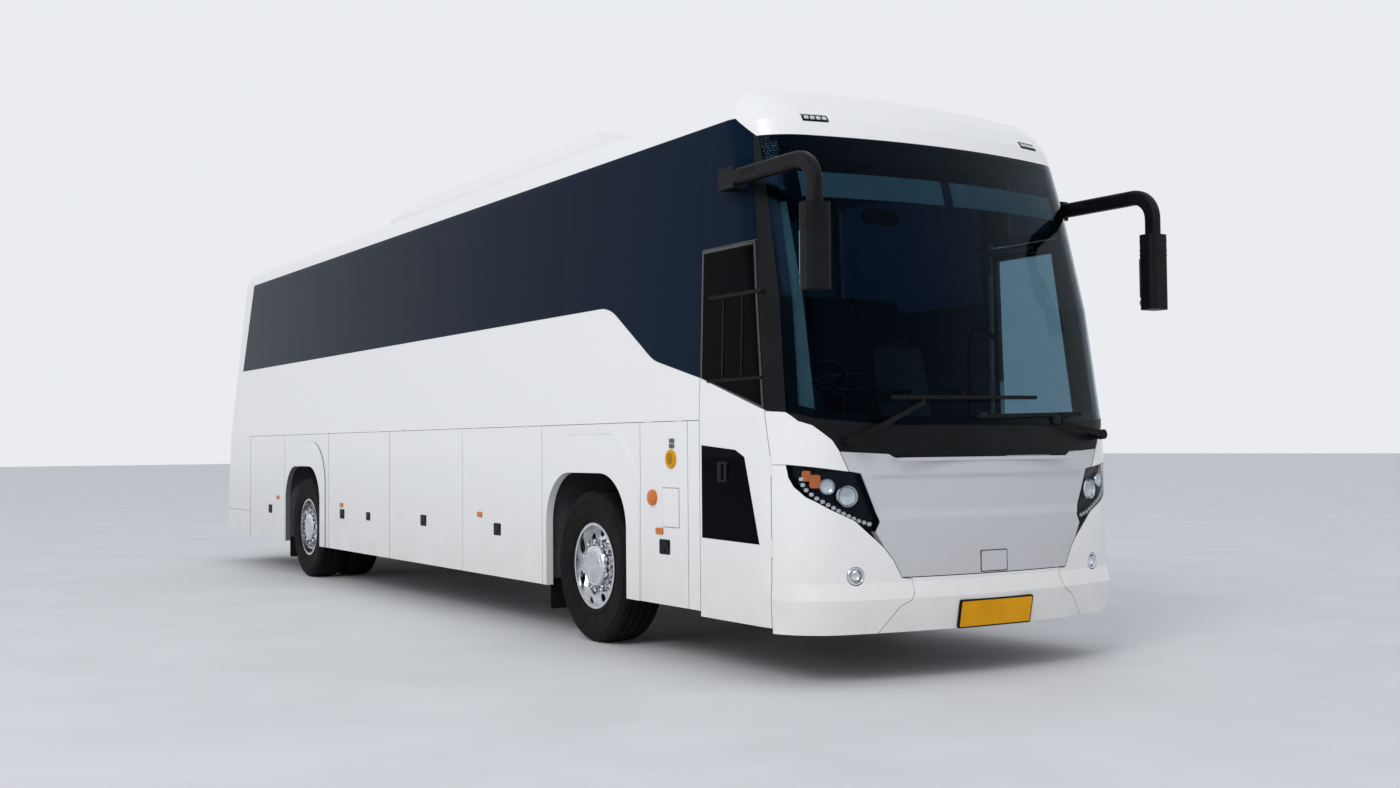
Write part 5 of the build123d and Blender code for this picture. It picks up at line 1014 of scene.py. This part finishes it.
door_paint = two_tone("door_polyurethane", "#0d0f12")
for name in ("driver_door", "passenger_door"):
    dress(nodes[name], door_paint)
door_surface = surface_of("driver_door", "driver_door_glass")
handle_place = stand_on(door_surface, (RIGHT * BESIDE, -5.103, 1.169), (-RIGHT, 0, 0))
recess = block(0.110, 0.118, 0.012, -0.004, 0.003, 0.001)
fit("driver_handle_plate", together((recess, handle_place)), black_abs, "driver_door")
bar = block(0.018, 0.094, 0.008, 0.002, 0.014, 0.004)
hand_grip = block(0.050, 0.094, 0.006, 0.002, 0.006, 0.002)
grip_place = handle_place @ at(0.028, 0, 0)
fit(
    "driver_handle", together((bar, handle_place), (hand_grip, grip_place)),
    gloss_black, "driver_door",
)
print("door line from", LINE_FOOT, "to", LINE_TOP)

# %% [markdown]
# A coach tyre is a turned form: two sidewalls with moulded ribs, and a tread with four grooves round it.
# Its shoulders are notched so that water can leave sideways. The CAD tyre is plain, so each is replaced
# by a turned profile, with every fourth step of the shoulder pushed in to make the notches.

# %% Tyres
AXLE_Z = 0.515
FRONT_AXLE_Y, REAR_AXLE_Y = -3.375, 2.975
OUTER_X, INNER_X = 1.0775, 0.7375
TYRE_STEPS = 120
NOTCH_EVERY = 4
NOTCH_DEPTH = 0.009
SHOULDER_FROM = 0.095
TREAD_FROM = 0.503
TYRE_SHARP = 28
SIDEWALL = (
    (0.286, 0.112), (0.291, 0.126), (0.312, 0.134), (0.318, 0.1385), (0.326, 0.1385), (0.331, 0.135),
    (0.370, 0.1435), (0.410, 0.1465), (0.440, 0.1445), (0.446, 0.1465), (0.452, 0.1462), (0.457, 0.1425),
    (0.482, 0.1375), (0.498, 0.131), (0.507, 0.122), (0.5115, 0.112),
)
HALF_TREAD = (
    (0.5130, 0.092), (0.5005, 0.0895), (0.5005, 0.0795), (0.5140, 0.077),
    (0.5147, 0.036), (0.5015, 0.0335), (0.5015, 0.0235), (0.5149, 0.021),
)


def axle_frame(side, x, y):
    """Local z points outwards along the axle."""
    return at(x, y, AXLE_Z) @ Matrix.Rotation(side * math.pi / 2, 4, "Y")


def tyre_at(side, x, y):
    """One tyre on its wheel, turned about the axle."""
    half = [*SIDEWALL, *HALF_TREAD]
    profile = [(r, -h) for r, h in half] + [(r, h) for r, h in reversed(half)]
    mesh = turned(profile, TYRE_STEPS)
    for vert in mesh.verts:
        radius = math.hypot(vert.co.x, vert.co.y)
        step = round(math.atan2(vert.co.y, vert.co.x) / (2 * math.pi / TYRE_STEPS))
        if radius > TREAD_FROM and abs(vert.co.z) > SHOULDER_FROM and step % NOTCH_EVERY == 0:
            vert.co.x *= 1 - NOTCH_DEPTH / radius
            vert.co.y *= 1 - NOTCH_DEPTH / radius
    return mesh, axle_frame(side, side * x, y)


for side_name, side in SIDES.items():
    front = together(tyre_at(side, OUTER_X, FRONT_AXLE_Y))
    piece = fit(f"tyre_front_{side_name}", front, tyre_rubber, f"front_wheel_{side_name}", TYRE_SHARP)
    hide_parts(f"front_tyre_{side_name}")
    pair = together(tyre_at(side, OUTER_X, REAR_AXLE_Y), tyre_at(side, INNER_X, REAR_AXLE_Y))
    piece = fit(f"tyres_rear_{side_name}", pair, tyre_rubber, f"rear_wheel_{side_name}", TYRE_SHARP)
    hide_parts(f"rear_tyres_{side_name}")
print("tyres of", TYRE_STEPS, "steps, notched every", NOTCH_EVERY)

# %% [markdown]
# The wheels are polished, with a domed cap over the hub, a ring of small screws on it, and ten domed nuts.
# All of these are small, bright and round, so they are turned profiles, set evenly on a circle.

# %% Wheel caps and nuts
CAP_X = 1.199
NUT_CIRCLE, NUTS, NUT_X = 0.1675, 10, 1.168
SCREW_CIRCLE, SCREWS, SCREW_RISE = 0.120, 8, 0.007
CAP = (
    (0.139, -0.020), (0.141, -0.002), (0.135, 0.006), (0.108, 0.009),
    (0.104, 0.013), (0.06, 0.016), (0, 0.017),
)
NUT = (
    (0.021, 0), (0.021, 0.006), (0.0165, 0.009), (0.0160, 0.022),
    (0.012, 0.030), (0.005, 0.033), (0, 0.0335),
)
SCREW = ((0.006, 0), (0.006, 0.003), (0.003, 0.005), (0, 0.005))


def round_circle(profile, segments, count, circle, where):
    """The same turned part, repeated evenly on a circle."""
    turns = [2 * math.pi * i / count for i in range(count)]
    places = [where @ at(circle * math.cos(t), circle * math.sin(t), 0) for t in turns]
    return [(turned(profile, segments), place) for place in places]


for side_name, side in SIDES.items():
    for end, y in (("front", FRONT_AXLE_Y), ("rear", REAR_AXLE_Y)):
        body = f"{end}_wheel_{side_name}"
        cap_frame = axle_frame(side, side * CAP_X, y)
        screw_frame = cap_frame @ at(0, 0, SCREW_RISE)
        screws = round_circle(SCREW, 12, SCREWS, SCREW_CIRCLE, screw_frame)
        cap = together((turned(CAP, 56), cap_frame), *screws)
        fit(f"hub_cap_{end}_{side_name}", cap, polished_aluminium, body)
        nuts = round_circle(NUT, 16, NUTS, NUT_CIRCLE, axle_frame(side, side * NUT_X, y))
        fit(f"wheel_nuts_{end}_{side_name}", together(*nuts), mirror_chrome, body)
print("wheel nuts", NUTS, "a wheel")

# %% [markdown]
# The mirrors hang on arms of moulded plastic. Each arm has a long slot near its root, and each head has
# moulded rings near its top, and a main glass and a kerb glass that face the driver.

# %% Mirrors
mirror_surface = surface_of("mirrors")
SLOT = (0.150, 0.034)
SLOT_Y, SLOT_Z = -5.47, 2.862
HEAD_X, HEAD_Y = 1.292, -6.065
RING_ZS = (2.470, 2.500, 2.560)
GLASS_HEIGHTS_AND_ZS = ((0.250, 2.335), (0.036, 2.182))
mirror_glass, silvering = start_finish("silvered_glass", "#b8c2c8", 0.03, Metallic=1.0)
fine_bump(mirror_glass, silvering, 400, 0.02, 0.2)
vary_gloss(mirror_glass, silvering, 0.02, 0.06, 200)
for side_name, side in SIDES.items():
    slots = []
    for start_x, direction in ((side * BESIDE, -side), (0.0, side)):
        where = stand_on(mirror_surface, (start_x, SLOT_Y, SLOT_Z), (direction, 0, 0))
        slots.append((block(*SLOT, 0.012, -0.003, 0.0015, 0), where))
    fit(f"mirror_slot_{side_name}", together(*slots), window_rubber, "coach_body")
    rings = [(block(0.154, 0.124, 0.038, 0, 0.012, 0.004), at(side * HEAD_X, HEAD_Y, z)) for z in RING_ZS]
    fit(f"mirror_rings_{side_name}", together(*rings), black_abs, "coach_body")
    glasses = []
    for height, z in GLASS_HEIGHTS_AND_ZS:
        where = stand_on(mirror_surface, (side * HEAD_X, 0, z), (0, -1, 0))
        glasses.append((block(0.118, height, 0.012, -0.004, 0.002, 0.001), where))
    fit(f"mirror_glass_{side_name}", together(*glasses), mirror_glass, "coach_body")
print("mirror rings at", RING_ZS)

# %% [markdown]
# Behind the windscreen's top edge lies a printed black band, and below it hang two grey roller blinds.
# Both follow the curved glass, so they are cut from a copy of its inner face and moved back a little.

# %% Windscreen band and blinds
BAND_Z, BAND_X, BAND_BACK = (2.945, 3.2), (-1.2, 1.2), 0.0015
BLIND_Z, BLIND_X, BLIND_BACK, BLIND_THICK = (2.735, 2.885), (0.035, 0.985), 0.05, 0.003
FACES_INWARD = 0.4


def cut_of_screen(low, high, one_x, other_x, back):
    """A part of the windscreen's inner face, moved back from it."""
    x_low, x_high = sorted((one_x, other_x))
    mesh = bmesh.new()
    mesh.from_mesh(nodes["windscreen"].data)
    bmesh.ops.remove_doubles(mesh, verts=mesh.verts, dist=WELD_DISTANCE)
    outer = [f for f in mesh.faces if f.normal.y < FACES_INWARD]
    bmesh.ops.delete(mesh, geom=outer, context="FACES")
    for place, normal in (
        ((0, 0, low), (0, 0, -1)), ((0, 0, high), (0, 0, 1)),
        ((x_low, 0, 0), (-1, 0, 0)), ((x_high, 0, 0), (1, 0, 0)),
    ):
        bmesh.ops.bisect_plane(
            mesh, geom=[*mesh.verts, *mesh.edges, *mesh.faces],
            plane_co=place, plane_no=normal, clear_outer=True,
        )
    bmesh.ops.translate(mesh, vec=(0, back, 0), verts=mesh.verts)
    return mesh


band = cut_of_screen(*BAND_Z, *BAND_X, BAND_BACK)
fit("screen_band", band, gloss_black, "coach_body")
for side_name, side in SIDES.items():
    cut = cut_of_screen(*BLIND_Z, *(side * x for x in BLIND_X), BLIND_BACK)
    blind = fit(f"sun_blind_{side_name}", cut, blind_vinyl, "coach_body")
    blind.modifiers.new("thickness", "SOLIDIFY").thickness = BLIND_THICK
print("band from", BAND_Z, "blinds", BLIND_Z)

# %% [markdown]
# A seat pad is foam under a stretched cover: its faces are crowned and its edges are round.
# Here a fine cube is drawn out to a rounded block, and its broad face is raised in the middle.
# Sewn channels are narrow grooves pressed into that face. The crew's and the saloon's seats share this.

# %% Seat pads
PAD_CUTS = 11
PAD_POWER = 7.0
CHANNEL_NARROWNESS = 12


def pad(size, crown, channels=0, channel_depth=0.006):
    """A crowned pad of this size, centred on its origin, with its broad face up."""
    mesh = bmesh.new()
    bmesh.ops.create_cube(mesh, size=2)
    bmesh.ops.subdivide_edges(mesh, edges=mesh.edges, cuts=PAD_CUTS, use_grid_fill=True)
    for vert in mesh.verts:
        x, y, z = vert.co
        reach = (abs(x) ** PAD_POWER + abs(y) ** PAD_POWER + abs(z) ** PAD_POWER) ** (-1 / PAD_POWER)
        x, y, z = x * reach, y * reach, z * reach
        rise = crown * (1 - x * x) * (1 - y * y) if z > 0 else 0
        sewn = 0
        if channels and z > 0:
            sewn = channel_depth * max(0.0, math.cos(math.pi * y * channels)) ** CHANNEL_NARROWNESS
        vert.co = (x * size[0] / 2, y * size[1] / 2, z * size[2] / 2 + rise - sewn)
    return mesh


def leaning(x, y, z, degrees):
    """A frame at this place, tipped about its level axis."""
    return at(x, y, z) @ Matrix.Rotation(math.radians(degrees), 4, "X")


SEAT_ROWS, ROW_PITCH, FIRST_ROW_Y, PAIR_X = 12, 0.83, -4.33, 0.7075
CUSHION, BACK_PAD = (0.43, 0.43, 0.10), (0.43, 0.62, 0.085)
HALF_PAIR, CUSHION_BEHIND, CUSHION_Z = 0.22, 0.215, 1.752
BACK_BEHIND, BACK_Z, BACK_LEAN = 0.50, 2.07, 80
LEG_X, LEG_BEHIND, DECK_Z = 0.18, 0.24, 1.35


def saloon_seat(x, front_y):
    """The cushions and backs of one double seat, facing forward."""
    middle, back_y = front_y + CUSHION_BEHIND, front_y + BACK_BEHIND
    halves = (x - HALF_PAIR, x + HALF_PAIR)
    cushions = [(pad(CUSHION, 0.018, 2), at(half, middle, CUSHION_Z)) for half in halves]
    backs = [(pad(BACK_PAD, 0.016, 3), leaning(half, back_y, BACK_Z, BACK_LEAN)) for half in halves]
    return cushions + backs


rows, frames = [], []
for row in range(SEAT_ROWS):
    for side in SIDES.values():
        x, front_y = side * PAIR_X, FIRST_ROW_Y + row * ROW_PITCH
        rows += saloon_seat(x, front_y)
        shell = block(0.88, 0.66, 0.05, -0.062, -0.044, 0.006)
        frames.append((shell, leaning(x, front_y + BACK_BEHIND, BACK_Z, BACK_LEAN)))
        for foot in (-LEG_X, LEG_X):
            leg = block(0.05, 0.30, 0.012, 0, 0.35, 0.003)
            frames.append((leg, at(x + foot, front_y + LEG_BEHIND, DECK_Z)))
saloon = fit("saloon_seat_pads", together(*rows), seat_moquette, "coach_body")
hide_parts("saloon_seats")
fit("saloon_seat_frames", together(*frames), black_abs, "coach_body")
print("saloon pads", len(rows), "faces", len(saloon.data.polygons))

# %% [markdown]
# The driver and the guide sit on sprung seats in black leather, each with a deep cushion, a tall back,
# a headrest and two folding armrests on a moulded pedestal. The soft parts are pads like those of the saloon.

# %% Crew seats
DRIVER_X, GUIDE_X = -0.62, 0.44
ARMREST_X = 0.212
CREW_CUSHION, CREW_BACK = (0.46, 0.46, 0.12), (0.44, 0.58, 0.10)
CREW_HEADREST, CREW_ARMREST = (0.26, 0.15, 0.09), (0.05, 0.34, 0.05)
crew_pads, pedestals = [], []
for x in (DRIVER_X, GUIDE_X):
    crew_pads += [
        (pad(CREW_CUSHION, 0.022, 2, 0.008), at(x, -4.97, 1.40)),
        (pad(CREW_BACK, 0.020, 3, 0.008), leaning(x, -4.63, 1.70, 78)),
        (pad(CREW_HEADREST, 0.012), leaning(x, -4.55, 1.945, 80)),
        (pad(CREW_ARMREST, 0.006), at(x - ARMREST_X, -4.86, 1.64)),
        (pad(CREW_ARMREST, 0.006), at(x + ARMREST_X, -4.86, 1.64)),
    ]
    pedestals += [
        (block(0.30, 0.34, 0.04, 0, 0.40, 0.010), at(x, -4.93, 0.92)),
        (block(0.40, 0.42, 0.05, 0, 0.035, 0.008), at(x, -4.95, 1.305)),
    ]
crew = fit("crew_seat_pads", together(*crew_pads), seat_leather, "coach_body")
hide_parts("crew_seats")
fit("crew_seat_pedestals", together(*pedestals), black_abs, "coach_body")
print("crew pads", len(crew_pads))

# %% [markdown]
# The pillars beside the windscreen are lined with pale moulded trim, which shows through the glass.
# It follows the screen's curve, so it is cut from the screen's inner face, as the blinds are.

# %% Pillar trim
PILLAR_Z, PILLAR_X, PILLAR_BACK, PILLAR_THICK = (1.47, 2.70), (1.075, 1.19), 0.035, 0.006
for side_name, side in SIDES.items():
    cut = cut_of_screen(*PILLAR_Z, *(side * x for x in PILLAR_X), PILLAR_BACK)
    trim = fit(f"pillar_trim_{side_name}", cut, pale_trim, "coach_body")
    trim.modifiers.new("thickness", "SOLIDIFY").thickness = PILLAR_THICK
print("pillar trim", PILLAR_Z)

# %% [markdown]
# A bent rail stands by the passenger door for climbing in, and an interior mirror hangs below the blinds.
# A rail is one round bar, so a curve with a round section gives it in a few points.
# The driver's window has sliding panes, and their edges are drawn as thin rubber strips on the glass.

# %% Grab rail, inner mirror and window bars
def bent_rail(name, points, radius, material, body):
    """A round bar along a smooth curve through these points."""
    curve = bpy.data.curves.new(name, "CURVE")
    curve.dimensions = "3D"
    spline = curve.splines.new("NURBS")
    spline.points.add(len(points) - 1)
    for place, point in zip(points, spline.points):
        point.co = (*place, 1)
    spline.order_u, spline.use_endpoint_u = 3, True
    curve.bevel_depth, curve.bevel_resolution = radius, 4
    rail = bpy.data.objects.new(name, curve)
    bpy.context.scene.collection.objects.link(rail)
    curve.materials.append(material)
    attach(rail, body)


RAIL_POINTS = (
    (0.93, -4.78, 0.93), (0.93, -4.78, 1.75), (0.93, -4.79, 2.08), (0.93, -4.93, 2.10), (0.93, -5.02, 2.02),
)
RAIL_RADIUS = 0.016
bent_rail("grab_rail", RAIL_POINTS, RAIL_RADIUS, black_abs, "coach_body")
mirror_case = block(0.26, 0.10, 0.04, -0.012, 0.012, 0.006)
hung = at(-0.40, -5.50, 2.66) @ Matrix.Rotation(math.radians(78), 4, "X")
fit("inner_mirror", together((mirror_case, hung)), black_abs, "coach_body")
window_surface = surface_of("driver_door_glass", "driver_door")
WINDOW_BARS = (
    (-5.215, 2.19, 0.56, 0.022), (-5.215, 1.70, 0.56, 0.018),
    (-5.30, 1.945, 0.016, 0.49), (-5.10, 1.945, 0.016, 0.49),
)
bars = []
for y, z, wide, tall in WINDOW_BARS:
    where = stand_on(window_surface, (RIGHT * BESIDE, y, z), (-RIGHT, 0, 0))
    bars.append((block(wide, tall, 0.004, -0.003, 0.004, 0.001), where))
fit("driver_window_bars", together(*bars), window_rubber, "driver_door")
print("rail of", len(RAIL_POINTS), "points")

# %% [markdown]
# Behind each wheel hangs a mud flap: a sheet of rubber, stiff enough to stay straight down.

# %% Mud flaps
MUD_FLAP_YS = {"front": -2.738, "rear": 3.585}
MUD_FLAP_X, MUD_FLAP_Z = 1.075, 0.300
for side_name, side in SIDES.items():
    for end, y in MUD_FLAP_YS.items():
        sheet = block(0.285, 0.260, 0.020, 0.0, 0.008, 0.002)
        where = at(side * MUD_FLAP_X, y, MUD_FLAP_Z) @ Matrix.Rotation(math.pi / 2, 4, "X")
        fit(f"mud_flap_{end}_{side_name}", together((sheet, where)), wiper_rubber, "coach_body")
print("mud flaps at", MUD_FLAP_YS)

# %% [markdown]
# The roof has two escape hatches, each a white lid on a black curb, and a cooling unit with two grilles.
# The hatches stand on the curved roof by rays. The unit's top is flat, so its slats lie at its box's top.

# %% Roof hatches and grilles
HATCH_YS = (-3.75, 3.3)
GRILLE_YS = (-2.3, -0.1)
SLATS, SLAT_PITCH = 14, 0.06
ABOVE = 6.0
roof_surface = surface_of("roof", "air_conditioning_fairing")
for i, y in enumerate(HATCH_YS):
    where = stand_on(roof_surface, (0, y, ABOVE), (0, 0, -1))
    curb = block(0.78, 0.66, 0.06, -0.02, 0.014, 0.004)
    fit(f"roof_hatch_curb_{i}", together((curb, where)), black_abs, "coach_body")
    lid = block(0.74, 0.62, 0.08, 0.0, 0.045, 0.018)
    fit(f"roof_hatch_{i}", together((lid, where)), white_polyurethane, "coach_body")
unit_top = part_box("air_conditioning_fairing")[1][2]
slats = []
for i in range(SLATS):
    for y in GRILLE_YS:
        slat = block(0.9, 0.028, 0.010, -0.004, 0.010, 0.003)
        slats.append((slat, at(0, y + i * SLAT_PITCH, unit_top)))
fit("cooling_grilles", together(*slats), black_abs, "coach_body")
print("roof hatches", len(HATCH_YS), "grille slats", len(slats))

# %% [markdown]
# The tail lamps are round units in a column on each side, each a domed lens in a chrome ring,
# on a gloss black panel. They are turned profiles that stand on the CAD lamp housing.

# %% Tail lamps
TAIL_LAMP_X = 1.08
TAIL_PANEL_Z = 1.16
LAMP_UNITS = (
    ("stop", 0.885, red_acrylic), ("turn", 1.02, amber_acrylic), ("tail", 1.155, red_acrylic),
    ("reverse", 1.29, frosted_white), ("fog", 1.425, red_acrylic),
)
TAIL_DOME = ((0.048, 0.001), (0.047, 0.006), (0.036, 0.010), (0.015, 0.012), (0, 0.0125))
TAIL_RIM = ((0.060, 0.0), (0.059, 0.005), (0.054, 0.008), (0.049, 0.004))
tail_surface = surface_of("rear_lamps")


def tail_spot(side, z):
    """A frame on a tail lamp housing, seen from straight behind."""
    return stand_on(tail_surface, (side * TAIL_LAMP_X, FAR, z), (0, -1, 0))


for side_name, side in SIDES.items():
    rims = []
    for use, z, material in LAMP_UNITS:
        where = tail_spot(side, z)
        dome = together((turned(TAIL_DOME), where))
        fit(f"tail_lamp_{use}_{side_name}", dome, material, "coach_body")
        rims.append((turned(TAIL_RIM), where))
    fit(f"tail_lamp_rims_{side_name}", together(*rims), mirror_chrome, "coach_body")
    panel = block(0.15, 0.70, 0.03, -0.004, 0.0006, 0)
    panel = together((panel, tail_spot(side, TAIL_PANEL_Z)))
    fit(f"tail_lamp_panel_{side_name}", panel, gloss_black, "coach_body")
print("tail lamp units", len(LAMP_UNITS), "a side")

# %% [markdown]
# The engine lid lets cooling air out through a block of louvres, and has a latch like those of the lockers.

# %% Engine lid
LOUVRES, LOUVRE_PITCH, LOUVRES_FROM_Z = 9, 0.032, 1.16
LID_LATCH_Z, LID_LATCH_SIZE = 0.72, 0.09
lid_surface = surface_of("engine_lid")
louvres = []
for i in range(LOUVRES):
    where = stand_on(lid_surface, (0, FAR, LOUVRES_FROM_Z + i * LOUVRE_PITCH), (0, -1, 0))
    louvres.append((block(1.30, 0.020, 0.008, -0.004, 0.010, 0.004), where))
fit("engine_louvres", together(*louvres), black_abs, "engine_lid")
lid_latch = stand_on(lid_surface, (0, FAR, LID_LATCH_Z), (0, -1, 0))
latch = together((paddle_latch(LID_LATCH_SIZE), lid_latch))
fit("engine_lid_latch", latch, black_abs, "engine_lid")
print("louvres", len(louvres))
